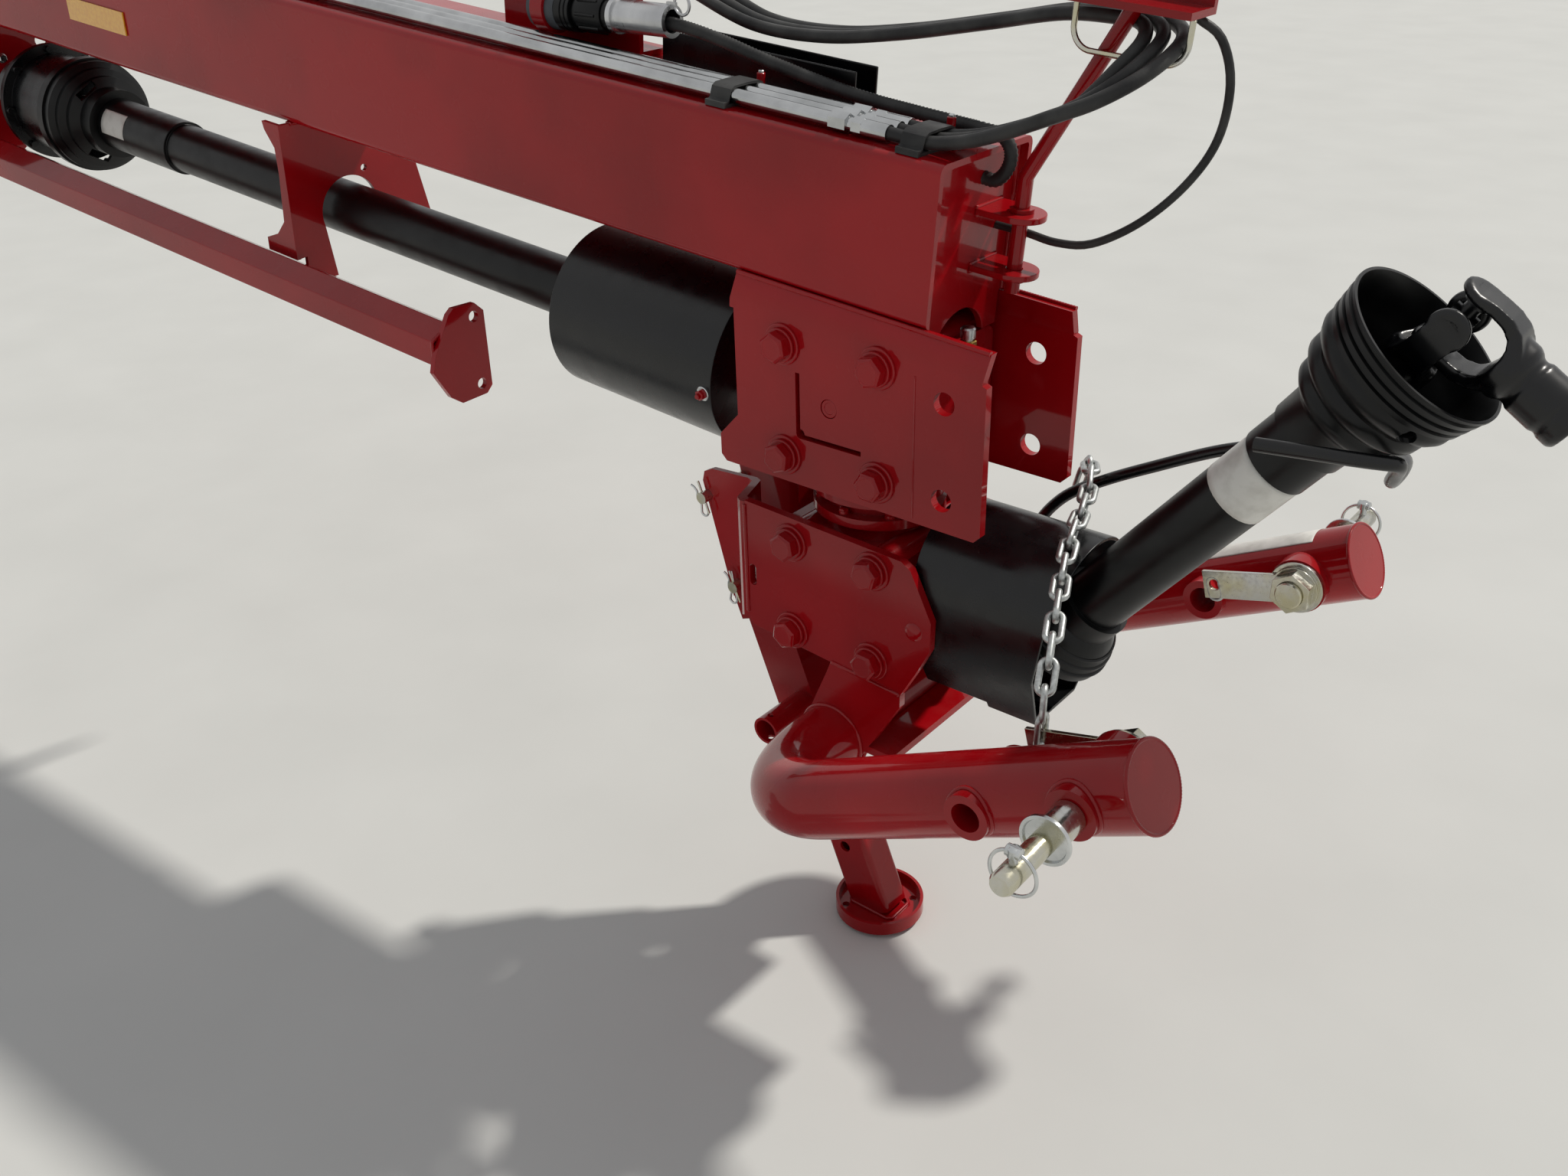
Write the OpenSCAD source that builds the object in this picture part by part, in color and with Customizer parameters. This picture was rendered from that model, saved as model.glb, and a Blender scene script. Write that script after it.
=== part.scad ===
// Front drawbar of a trailed mower conditioner with its swivelling gearbox hitch.
// Lengths in millimetres, +X forward to the tractor, +Y left, +Z up.
// The origin is the middle of the pivot bore at the rear end of the drawbar.

/* [Drawbar beam] */
// distance from the rear pivot bore to the swivel axis of the hitch
pivot_to_swivel = 2450; // [2300:50:2600]
// height of the rear pivot centre over the hitch pins
pivot_over_pins = 686; // [676:2:696]
// outside width of the box beam
beam_w = 200; // [190:2:210]
// outside height of the box beam
beam_h = 198; // [190:2:206]
// wall of the box beam
beam_wall = 8; // [6:1:10]

/* [Gearbox plates] */
// distance over the outer faces of the gearbox side plates
plates_over = 226; // [222:2:232]
// thickness of the gearbox side plates
plate_t = 12; // [10:1:14]
// pitch of the gearbox bolts along the machine
bolt_pitch = 150; // [140:2:156]

/* [Hitch yoke] */
// outside diameter of the yoke tube
yoke_d = 102; // [96:2:108]
// distance between the two arms of the yoke, centre to centre
arm_spread = 614; // [600:2:628]
// distance between the shoulders of the lower link pins
pin_spread = 825; // [815:5:840]
// diameter of the lower link pin ends
link_pin_d = 28; // [26:1:32]

/* [Parking stand] */
// depth of the stand tube along the machine
leg_w = 76; // [72:2:80]
// width of the stand tube across the machine
leg_t = 56; // [52:2:60]
// diameter of the foot plate
foot_d = 142; // [130:2:150]

/* [Drive line] */
// outside diameter of the guard tube under the beam
guard_d = 90; // [84:2:96]
// outside diameter of the bell guard at the upper gearbox
bell_d = 246; // [236:2:250]
// outside diameter of the guard tube of the tractor side shaft
pto_d = 84; // [80:2:88]

/* [Hidden] */
$fa = 6;
$fs = 2.2;
red = [0.55, 0.05, 0.07];
black = [0.05, 0.05, 0.055];
zinc = [0.75, 0.73, 0.62];
steel = [0.70, 0.71, 0.73];
rubber = [0.08, 0.08, 0.085];
slope = 4.7;
beam_front = 135;
beam_z = 375;
beam_len = (pivot_to_swivel + beam_front - 45) / cos(slope);
plate_out = plates_over / 2;
plate_in = plate_out - plate_t;
bp = bolt_pitch / 2;
up_z = 245;
up_bz = 77;
low_z = -33;
low_bx = 69;
low_bz = 70;
neck_r = 60;
neck_clear = 0.06;
drive_z = 222;
arm_y = arm_spread / 2;
yoke_r = yoke_d / 2;
yoke_tilt = 27;
pin_x = 508;
arm_back = pin_x / cos(yoke_tilt);
bend_r = 150;
cap_x = 72;
stub_x = -112;
stub_z = -287;
boss_gap = 142;
boss_face = arm_y + yoke_r + 7;
pin_body_r = 18.3;
shoulder = pin_spread / 2;
lean = 22;
foot_x = 7;
foot_z = -648;
leg_len = 620;
pin_back = -18;
sleeve_y = leg_t / 2 + 0.6;
cheek_y = sleeve_y + 8.4;
joint_x = 287;
joint_z = -31;
pto_el = 51;
pto_r = pto_d / 2;
slide_gap = 0.6;
cross_at = 648;
spin_r = 17.5;
shaft_r = 20;
line_z = 13;
hinge_x = 175;
hinge_z = 40;
rod_x = 168;
rod_y = 42;
rod_r = 9.5;

// helpers: frames and simple sections
module head() {
  translate([pivot_to_swivel, 0, -pivot_over_pins]) children();
}
module beam() {
  head() translate([beam_front, 0, beam_z]) rotate([0, slope, 0]) children();
}
module xrod(x0, x1) {
  translate([x0, 0, 0]) rotate([90, 0, 90]) linear_extrude(x1 - x0) children();
}
module yplate(y0, t) {
  translate([0, y0 + t, 0]) rotate([90, 0, 0]) linear_extrude(t) children();
}
module xcyl(x0, x1, r) {
  translate([x0, 0, 0]) rotate([0, 90, 0]) cylinder(h = x1 - x0, r = r);
}
module ycyl(y0, y1, r) {
  translate([0, y0, 0]) rotate([-90, 0, 0]) cylinder(h = y1 - y0, r = r);
}
module rrect(w, h, r) {
  square([w - 2 * r, h], center = true);
  square([w, h - 2 * r], center = true);
  for (sx = [-1, 1], sy = [-1, 1])
    translate([sx * (w / 2 - r), sy * (h / 2 - r)]) circle(r = r);
}
module hexa(af) {
  intersection_for (a = [0, 60, 120])
    rotate(a) square([af, 2 * af], center = true);
}
module both() {
  children();
  mirror([0, 1, 0]) children();
}
module drive() {
  head() translate([0, 0, drive_z]) rotate([0, slope, 0]) children();
}
module yoke() {
  head() translate([pin_x, 0, 0]) rotate([0, -yoke_tilt, 0]) children();
}
module leg() {
  head() translate([foot_x, 0, foot_z]) rotate([0, -lean, 0]) children();
}
module shaft() {
  head() translate([joint_x, 0, joint_z]) rotate([0, -pto_el, 0]) children();
}

// drawbar
module tongue_beam() color(red) difference() {
  beam() difference() {
    translate([0, 0, beam_h / 2]) difference() {
      xrod(-beam_len, 0) rrect(beam_w, beam_h, 12);
      xrod(-beam_len - 1, 1) rrect(beam_w - 2 * beam_wall, beam_h - 2 * beam_wall, 5);
    }
    translate([-24.3, -beam_w / 2 + beam_wall, -1])
      cube([30, beam_w - 2 * beam_wall, beam_wall + 8]);
  }
  translate([0, 0, -250]) cylinder(h = 500, r = 70.3);
}
module front_plate() color(red) beam() translate([-24, 0, 0]) xrod(0, 10) difference() {
  w = beam_w / 2 - beam_wall - 0.3;
  top = beam_h - beam_wall - 0.3;
  n = w - 4.2;
  polygon([[-n, 0.3], [-n, -44], [n, -44], [n, 0.3], [w, 0.3], [w, top - 5], [w - 5, top],
    [-w + 5, top], [-w, top - 5], [-w, 0.3]]);
  translate([0, -62]) circle(r = 60);
}
module pivot_hub() color(red) difference() {
  union() {
    translate([0, 0, -150]) cylinder(h = 300, r = 70);
    for (sz = [-1, 1]) translate([0, 0, sz * 146 - 6]) cylinder(h = 12, r = 88);
  }
  translate([0, 0, -154]) cylinder(h = 308, r = 40);
}
module side_band() {
  w = beam_w / 2;
  xrod(-295, 93) polygon([[-w, 0], [-w + plate_t, 0], [-plate_in, -32],
    [-plate_in, -44], [-plate_out, -44], [-plate_out, -32]]);
}
module upper_side_plates() color(red) both() {
  beam() side_band();
  head() difference() {
    yplate(-plate_out, plate_t) difference() {
      polygon([[-156, 360], [-156, 205], [-189, 170], [-189, 140], [-180, 131], [222, 127],
        [231, 136], [231, 330], [222, 334]]);
      translate([-55, 204]) square([7, 84]);
      translate([-48, 197]) square([98, 7]);
      translate([-48, 204]) circle(r = 7);
      translate([-1, 250]) circle(r = 13);
      for (sx = [-1, 1], sz = [-1, 1]) translate([sx * bp, up_z + sz * up_bz]) circle(r = 13);
      for (z = [170, 298]) translate([173, z]) circle(r = 15);
    }
  }
}
module upper_gearbox() color(red) head() difference() {
  union() {
    translate([0, 0, 247]) xrod(-112, 112) rrect(186, 164, 14);
    for (sx = [-1, 1], sz = [-1, 1]) translate([sx * bp, 0, up_z + sz * up_bz])
      ycyl(-plate_in + 0.2, plate_in - 0.2, 24);
    translate([0, 0, 104]) cylinder(h = 64, r = 74);
    translate([0, 0, 108]) cylinder(h = 13, r = 94);
    translate([0, 0, drive_z]) rotate([0, slope, 0]) xcyl(-206, -100, 56);
    translate([0, 0, drive_z]) rotate([0, slope, 0]) xcyl(-126, -110, 78);
    translate([106, 0, 245]) xcyl(0, 12, 60);
    translate([-1, 0, 250]) ycyl(-plate_in + 0.2, plate_in - 0.2, 9);
    translate([132, 0, 300]) cylinder(h = 14, r = 13);
    translate([104, -13, 292]) cube([28, 26, 20]);
    for (a = [15:45:359]) rotate(a) translate([84, 0, 120]) cylinder(h = 7, r = 8);
  }
  translate([0, 0, 103]) cylinder(h = 52, r = neck_r + neck_clear);
  for (sx = [-1, 1], sz = [-1, 1], sy = [-1, 1]) translate([sx * bp, 0, up_z + sz * up_bz])
    ycyl(sy > 0 ? 60 : -130, sy > 0 ? 130 : -60, 12);
  translate([132, 0, 290]) cylinder(h = 40, r = 6);
  translate([0, 0, drive_z]) rotate([0, slope, 0]) xcyl(-207, -130, shaft_r + 0.05);
}
module big_bolt() {
  ycyl(-plate_out - 4, -plate_out, 28);
  ycyl(-plate_out - 9, -plate_out - 4, 23);
  translate([0, -plate_out - 9, 0]) rotate([90, 0, 0]) linear_extrude(15) hexa(36);
  ycyl(-plate_out - 4, -62, 11.9);
}
module upper_gearbox_bolts() color(red) head() both()
  for (sx = [-1, 1], sz = [-1, 1]) translate([sx * bp, 0, up_z + sz * up_bz]) big_bolt();
module breather() color(zinc) head() translate([132, 0, 0]) {
  translate([0, 0, 300]) cylinder(h = 40, r = 5.9);
  translate([0, 0, 314]) cylinder(h = 12, r = 12);
  translate([0, 0, 326]) linear_extrude(12) hexa(20);
  translate([0, 0, 338]) cylinder(h = 16, r = 10);
}
module bell_guard() color(black) drive() difference() {
  xcyl(-512, -196, bell_d / 2);
  xcyl(-513, -202, bell_d / 2 - 4);
  xcyl(-203, -195, 56.3);
}
module shaft_guard_tube() color(black) drive() difference() {
  union() {
    xcyl(-1900, -330, guard_d / 2);
    xcyl(-1900, -1655, guard_d / 2 + 5);
    xcyl(-360, -330, guard_d / 2 + 8);
  }
  xcyl(-1892, -338, guard_d / 2 - 5);
  xcyl(-1901, -329, shaft_r + 0.1);
}
module drive_shaft() color(steel) drive() {
  xcyl(-2099, -132, shaft_r);
  xcyl(-300, -215, 36);
}
module clutch_guard() color(black) drive() difference() {
  rotate([0, 90, 0]) rotate_extrude() polygon([for (q = [[-1895, guard_d / 2 + 5.2],
    [-1895, 66], [-1930, 66], [-1938, 84], [-1950, 84], [-1956, 97], [-1968, 97],
    [-1974, 108], [-1990, 108], [-1990, 112], [-2010, 112], [-2010, 106], [-1982, 103],
    [-1974, 92], [-1962, 90], [-1955, 79], [-1944, 77], [-1938, 60],
    [-1938, guard_d / 2 + 5.2]]) [q[1], q[0]]]);
  for (a = [30, 150, 270]) rotate([a, 0, 0]) translate([-1960, -22, 67]) cube([30, 44, 14]);
}
module clutch_drum() color(black) drive() difference() {
  union() {
    xcyl(-2180, -2030, 98);
    xcyl(-2150, -2138, 116);
    xcyl(-2030, -1930, 32);
    xcyl(-2310, -2180, 60);
    for (a = [0:45:359]) rotate([a, 0, 0]) translate([0, 0, 106]) xcyl(-2158, -2130, 7);
  }
  xcyl(-2311, -2180, 18);
  xcyl(-2100, -1929, shaft_r + 0.05);
}
// side rail and hanger
rail_y = -135;
rail_r = 35;
rail_z = 185;
hang_x = -1140;
module rail() {
  head() translate([-740, rail_y, rail_z]) rotate([0, slope, 0]) children();
}
module side_rail() color(red) difference() {
  rail() difference() {
    xrod(-1560, 40) hexa(2 * rail_r);
    xrod(-1561, 41) hexa(2 * rail_r - 8);
  }
  head() translate([-734.3, -400, -100]) cube([200, 800, 900]);
  head() translate([-2449.7, -400, -100]) cube([200, 800, 900]);
}
module rail_bulkhead() color(red) head() translate([-2260, 0, 0]) xrod(0, 10) difference() {
  polygon([[-178, 262], [-88, 262], [-20, 312], [70, 356], [98, 420], [98, 570.6],
    [-98, 570.6], [-178, 470]]);
  translate([0, 407.4]) circle(r = 68);
  translate([50, 503]) circle(r = 13);
}
module rail_end_plate() color(red) head() translate([-734, 0, 0]) xrod(0, 10) difference() {
  polygon([[-86, 247], [-70, 231], [-71, 106], [-83, 95], [-134, 94], [-155, 110],
    [-182, 158], [-174, 184], [-139, 241], [-128, 249]]);
  for (z = [114, 226]) translate([-91, z]) circle(r = 9);
}
module mid_hanger() color(red) beam() translate([hang_x - beam_front, 0, 0]) {
  xrod(0, 8) difference() {
    polygon([[-120, -0.4], [-120, -228], [-99.7, -226], [-99.7, -274], [-42, -274],
      [-58, -164], [58, -164], [92, -166], [150, -206], [172, -208], [147, -110],
      [100, -0.4]]);
    translate([0, -164]) circle(r = 58);
    translate([36, -99]) circle(r = 6);
  }
  yplate(-120, 8) polygon([[8, -0.4], [8, -228], [-74, -228], [-74, -206], [-40, -192],
    [-16, -166], [-10, -84], [-12, -40], [-34, -14], [-38, -0.4]]);
}
// lines and fittings on top of the beam
module hydraulic_lines() color(steel) beam() translate([0, 0, beam_h + line_z])
  for (y = [-72, -50, -28]) translate([0, y, 0]) difference() {
    xcyl(-2150, -175, 9);
    xcyl(-2151, -174, 6);
  }
module line_clamps() color(black) beam() for (x = [-1900, -1300, -360, -70]) {
  translate([x, 0, beam_h]) difference() {
    union() {
      translate([0, -94, 0]) cube([34, 100, 8]);
      translate([0, -94, 18]) cube([34, 100, 10]);
      translate([0, -14, 0]) cube([34, 20, 28]);
      translate([0, -94, 0]) cube([34, 8, 28]);
      translate([17, -4, 27]) cylinder(h = 12, r = 8);
    }
    for (y = [-72, -50, -28]) translate([0, y, line_z]) xcyl(-1, 35, 9.3);
  }
}
module line_fittings() color(zinc) beam() translate([0, 0, beam_h + line_z])
  for (y = [-72, -50, -28]) translate([0, y, 0]) {
    xrod(-175, -150) hexa(21);
    xcyl(-150, -142, 8);
    xrod(-142, -128) hexa(19);
    xcyl(-128, -92, 10);
  }
module side_reflector() color([0.9, 0.6, 0.05]) beam()
  translate([-1925, -beam_w / 2 - 3.3, 64]) cube([193, 3, 40]);
bracket_y = 24;
coupler_z = 108;
module coupler_bracket() color(red) beam() translate([0, bracket_y, beam_h]) difference() {
  union() {
    translate([-858, 0, 0.3]) cube([274, 8, 140]);
    translate([-858, 0, 0.3]) cube([274, 60, 8]);
    translate([-720, -32, 51]) rotate([0, -4, 0]) xcyl(-12, 12, 33);
    translate([-732, -12, 20]) cube([24, 14, 46]);
  }
  for (x = [-760, -700, -640]) translate([x, -1, coupler_z]) ycyl(0, 12, 13);
  translate([-720, -32, 51]) rotate([0, -4, 0]) xcyl(-20, 20, 28.2);
}
module parked_plug() color(black) beam() translate([-660, bracket_y - 32, beam_h + 55.2])
  rotate([0, -4, 0]) {
    xcyl(-86, 0, 28);
    xcyl(0, 54, 25);
    for (a = [0:45:359]) rotate([a, 0, 0]) translate([10, -2, 24]) cube([38, 4, 3]);
    xcyl(-92, -86, 22);
    xcyl(54, 66, 21);
  }
module plug_sleeve() color(steel) beam() translate([-660, bracket_y - 32, beam_h + 55.2])
  rotate([0, -4, 0]) difference() {
    union() {
      xcyl(66.3, 168, 21);
      xcyl(66.3, 74, 24);
      translate([186, 0, 22]) rotate([90, 0, 0]) rotate_extrude() translate([13, 0]) circle(r = 2);
      translate([160, -2, 18]) cube([16, 4, 6]);
    }
    xcyl(100, 169, 15);
  }
module parked_couplers() color(steel) beam() for (x = [-760, -700, -640])
  translate([x, bracket_y, beam_h + coupler_z]) {
    ycyl(-32, 20, 12.8);
    ycyl(-10, -0.4, 18);
    ycyl(8.4, 27, 17);
  }
module hose_trough() color(black) beam() translate([-560, 44, beam_h]) difference() {
  cube([330, 50, 40]);
  translate([-1, 4, 4]) cube([332, 42, 50]);
}
module hose_arm_lugs() color(red) beam() for (z = [46, 116]) translate([-13.7, 0, z])
  difference() {
    union() {
      translate([0, 6, 0]) cube([45.7, 62, 8]);
      translate([45.7, 37, 0]) cylinder(h = 8, r = 31);
    }
    translate([45.7, 37, -1]) cylinder(h = 10, r = rod_r + 0.1);
  }
module hose_arm() color(red) beam() translate([32, 37, 0]) difference() {
  union() {
    translate([0, 0, 24]) cylinder(h = 142, r = rod_r);
    translate([0, 0, 124.2]) cylinder(h = 5, r = 15);
    translate([0, 0, 39]) cylinder(h = 6.8, r = 15);
    translate([0, 0, 166]) sphere(r = rod_r);
    translate([0, 0, 166]) rotate([0, 27, 0]) cylinder(h = 234, r = rod_r);
    translate([22, -25, 369]) cube([158, 60, 8]);
    translate([22, 27, 369]) cube([158, 8, 34]);
  }
  translate([-50, -50, 377.1]) cube([300, 76, 60]);
}
module hose_rings() color(zinc) beam() translate([0, 23, 0]) {
  for (x = [74, 210]) translate([x, 0, 344]) cylinder(h = 24.7, r = 3.4);
  for (k = [0, 1]) translate([k ? 186 : 98, 0, 344]) rotate([90, 0, 0]) rotate(k ? 270 : 180)
    rotate_extrude(angle = 90) translate([24, 0]) circle(r = 3.4);
  translate([0, 0, 320]) xcyl(98, 186, 3.4);
}

// swept hoses: a path of round points, a ring of points for each
function unit(v) = v / norm(v);
function tangent(p, i) = unit(p[min(i + 1, len(p) - 1)] - p[max(i - 1, 0)]);
function side_of(t) = abs(t[2]) > 0.95 ? unit(cross(t, [0, 1, 0])) : unit(cross(t, [0, 0, 1]));
function ring(p, i, r, n) = let (t = tangent(p, i), a = side_of(t), b = cross(t, a))
  [for (k = [0:n - 1]) p[i] + r * (cos(360 * k / n) * a + sin(360 * k / n) * b)];
function tube_points(p, r, n) = [for (i = [0:len(p) - 1], q = ring(p, i, r, n)) q];
function tube_faces(m, n) = concat(
  [[for (k = [0:n - 1]) k]],
  [for (i = [0:m - 2], k = [0:n - 1])
    [i * n + k, (i + 1) * n + k, (i + 1) * n + (k + 1) % n, i * n + (k + 1) % n]],
  [[for (k = [n - 1:-1:0]) (m - 1) * n + k]]
);
module sweep(p, r, n = 10) polyhedron(tube_points(p, r, n), tube_faces(len(p), n));

hose_r = 8;
function hose_path(w, e, v) = [[-91.8, 14 - w, 211], [-40, 14 - w, 211], [10, 14 - w, 222],
  [60, 14 - w, 242], [112, 14 - w, 268], [112 + 0.5 * w, 14 - 0.87 * w, 290],
  [112 + 0.87 * w, 14 - 0.5 * w, 315], [112 + v, 14, 336], [112 + 0.87 * v, 14 + 0.5 * v, 347],
  [112 + 0.5 * v, 14 + 0.87 * v, 352], [112, 14 + v, 352], [40, 14 + v, 346],
  [-60, 14 + v, 320], [-180, 14 + w, 290], [-300, 16 + w, 268], [-420, 24 + w, 264],
  [-540, 36 + w, 288], [e + 34, 40 + w, 305], [e, 60, 306], [e, 51.5, 306]];
module hose_right() color(rubber) beam() sweep(hose_path(86, -760, 86), hose_r);
module hose_middle() color(rubber) beam() sweep(hose_path(64, -700, 65), hose_r);
module hose_left() color(rubber) beam() sweep(hose_path(42, -640, 46.5), hose_r);
module electric_cable() color(rubber) beam() sweep([[196, 66, 363.5], [222, 76, 345],
  [238, 84, 300], [236, 84, 240], [212, 76, 186], [170, 66, 136], [118, 60, 100],
  [72, 60, 90], [30, 60, 92], [-13.6, 60, 92]], 5, 8);
module plug_harness() color(rubber) beam() sweep([[-556, -8, 260.4], [-490, -8, 262],
  [-430, 2, 254], [-340, 17, 234], [-216, 21, 218], [-120, 22, 214], [-30, 20, 213],
  [1, 20, 211], [15, 20, 200], [18, 20, 184], [12, 20, 168], [1, 20, 158], [-13.6, 20, 158]], 9);

// hitch body
module lower_gearbox() color(red) head() difference() {
  union() {
    translate([0, 0, low_z]) xrod(-104, 104) rrect(184, 170, 14);
    for (sx = [-1, 1], sz = [-1, 1]) translate([sx * low_bx, 0, low_z + sz * low_bz])
      ycyl(-plate_in, plate_in, 24);
    translate([0, 0, 45]) cylinder(h = 53, r = 74);
    translate([0, 0, 76]) cylinder(h = 14, r = 92);
    translate([0, 0, 96]) cylinder(h = 54, r = neck_r);
    translate([0, 0, joint_z]) xcyl(100, 138, 52);
    translate([0, 0, joint_z]) xcyl(100, 118, 66);
    for (a = [0:45:359]) rotate(a) translate([82, 0, 88]) cylinder(h = 7, r = 7);
  }
  translate([0, 0, joint_z]) xcyl(80, 139, spin_r + 12);
  translate([0, 0, joint_z]) xcyl(40, 139, spin_r + 0.05);
  for (sx = [-1, 1], sz = [-1, 1], sy = [-1, 1])
    translate([sx * low_bx, 0, low_z + sz * low_bz])
      ycyl(sy > 0 ? 60 : -130, sy > 0 ? 130 : -60, 12);
}
module lower_side_plates() color(red) {
  both() head() yplate(-plate_out, plate_t) difference() {
    polygon([[-151, -108], [-142, -119], [-130, -121], [117, -142], [145, -91], [163, -54],
      [164, -11], [130, 57], [115, 66], [-151, 78]]);
    for (sx = [-1, 1], sz = [-1, 1]) translate([sx * low_bx, low_z + sz * low_bz])
      circle(r = 13);
    translate([-140, -37]) rrect(12, 34, 5.9);
  }
  head() yplate(plate_in, plate_t) difference() {
    polygon([[128, 60], [163, -12], [190, 22], [193, 44], [184, 57], [160, 66]]);
    translate([hinge_x, hinge_z]) circle(r = 8.08);
  }
}
module lower_gearbox_bolts() color(red) head() both()
  for (sx = [-1, 1], sz = [-1, 1]) translate([sx * low_bx, 0, low_z + sz * low_bz])
    big_bolt();
module bend_piece(r) {
  translate([-arm_back + bend_r, -arm_y + bend_r, 0]) rotate(180)
    rotate_extrude(angle = 90) translate([bend_r, 0]) circle(r = r);
}
module hitch_yoke() color(red) {
  difference() {
    union() {
      yoke() {
        both() {
          translate([0, -arm_y, 0]) xcyl(-arm_back + bend_r, cap_x, yoke_r);
          bend_piece(yoke_r);
        }
        translate([-arm_back, 0, 0]) ycyl(-arm_y + bend_r, arm_y - bend_r, yoke_r);
      }
      both() {
        head() translate([pin_x, 0, 0]) ycyl(-boss_face, -arm_y + yoke_r + 12, 31);
        head() translate([pin_x, 0, 0]) ycyl(-arm_y, -arm_y + yoke_r + 12, 38);
        yoke() translate([-boss_gap, 0, 0]) ycyl(-boss_face, -arm_y + yoke_r + 12, 29);
      }
      both() head() yplate(-plate_out, plate_t)
        polygon([[-2, -132.3], [117, -142.4], [117, -161], [52, -271], [-30, -300],
          [-47, -241], [-9, -151]]);
      head() translate([52, -plate_out + 1, -262]) cube([54, 2 * plate_out - 2, 12]);
    }
    both() {
      head() translate([pin_x, 0, 0])
        ycyl(-boss_face - 1, -arm_y + yoke_r + 13, pin_body_r + 0.05);
      yoke() translate([-boss_gap, 0, 0])
        ycyl(-boss_face - 1, -arm_y + yoke_r + 13, pin_body_r + 0.2);
    }
  }
}
module link_pins() color(zinc) both() head() translate([pin_x, 0, 0]) difference() {
  union() {
    ycyl(-shoulder, -arm_y + yoke_r + 46, pin_body_r);
    ycyl(-shoulder, -boss_face - 2, 20);
    ycyl(-shoulder - 5, -shoulder, 30);
    ycyl(-shoulder - 92, -shoulder, link_pin_d / 2);
  }
  translate([0, -shoulder - 66, -20]) cylinder(h = 40, r = 5.6);
}
nut_y = -arm_y + yoke_r + 12;
module lock_plate() rotate([0, -15, 0]) translate([0, 11, 0]) rotate([90, 0, 0])
  linear_extrude(6) difference() {
    union() {
      translate([-128, -20]) square([128, 40]);
      circle(r = 31);
    }
    translate([-112, 0]) circle(r = 8);
  }
module pin_hardware() color(zinc) both() head() translate([pin_x, nut_y, 0]) difference() {
  union() {
    ycyl(0.3, 6, 36);
    translate([0, 28, 0]) rotate([90, 0, 0]) linear_extrude(18) hexa(50);
    lock_plate();
  }
  ycyl(-1, 40, pin_body_r + 0.1);
}
module linch_pins() color(zinc) both() head()
  translate([pin_x, -shoulder - 66, 0]) {
    translate([0, 0, -22]) cylinder(h = 50, r = 5);
    translate([0, 0, 24]) rotate([0, 90, 0]) translate([0, 0, -9]) cylinder(h = 18, r = 7);
    translate([0, -2, 0]) rotate([90, 0, 0]) difference() {
      cylinder(h = 4, r = 29);
      translate([0, 0, -1]) cylinder(h = 6, r = 25.5);
    }
  }
module shield_shape(g) {
  w = plate_in - 0.3 - g;
  translate([0, 14]) circle(r = w);
  polygon([[-w, 14], [-w, -55 + g * 0.5], [-52 + g * 0.5, -150 + g], [52 - g * 0.5, -150 + g],
    [w, -55 + g * 0.5], [w, 14]]);
}
module input_shield() color(black) head() difference() {
  xrod(124, 350) shield_shape(0);
  xrod(123, 351) shield_shape(5);
  translate([294, -150, -150]) rotate([0, 9, 0]) cube([200, 300, 400]);
  translate([120, -200, -220]) cube([100, 400, 80]);
}
// stand: joggled cheeks, sleeve and stub tube, all welded together
module joggle() translate([0, 0, -160]) linear_extrude(260) {
  y = cheek_y;
  polygon([[-330, y], [-192, y], [-180, y + 6], [-160, plate_in - 4], [-151.3, plate_in],
    [-151.3, plate_out], [-160, plate_out], [-171, plate_out - 8], [-190, y + 13],
    [-203, y + 8], [-330, y + 8]]);
}
module stand_bracket() color(red) head() difference() {
  union() {
    both() intersection() {
      joggle();
      translate([0, 150, 0]) rotate([90, 0, 0]) linear_extrude(150)
        polygon([[-151.3, 76], [-272, 68], [-288, 60], [-292, 44], [-241, -137],
          [-200, -137], [-151.3, -104]]);
    }
    translate([foot_x, 0, foot_z]) rotate([0, -lean, 0]) {
      both() translate([-leg_w / 2 + 6, sleeve_y, 372]) cube([leg_w + 2, 8, 138]);
      both() translate([-leg_w / 2 + 6, sleeve_y, 500]) cube([leg_w - 8, 8, 130]);
      translate([leg_w / 2 + 0.6, -sleeve_y - 8, 372]) cube([8, 2 * sleeve_y + 16, 138]);
      translate([-leg_w / 2 - 8.6, -sleeve_y - 4, 524]) cube([8, 2 * sleeve_y + 8, 44]);
      both() translate([-leg_w / 2 - 8.6, sleeve_y, 524]) cube([30, 8, 44]);
    }
    translate([stub_x, 0, stub_z]) ycyl(-131, -sleeve_y - 4, 22);
  }
  translate([foot_x, 0, foot_z]) rotate([0, -lean, 0])
    for (w = [585, 730]) translate([pin_back, 0, w]) ycyl(-80, 80, 9.1);
  translate([stub_x, 0, stub_z]) ycyl(-132, -60, 18);
  translate([stub_x, -118, stub_z]) cylinder(h = 60, r = 5, center = true);
}
module bracket_pins() color(zinc) leg() for (w = [585, 730]) translate([pin_back, 0, w]) {
  both() ycyl(-cheek_y - 24, -sleeve_y - 0.6, 9);
  ycyl(cheek_y + 8.3, cheek_y + 12, 14);
  translate([0, -cheek_y - 18, -26]) cylinder(h = 52, r = 1.8);
}
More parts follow.
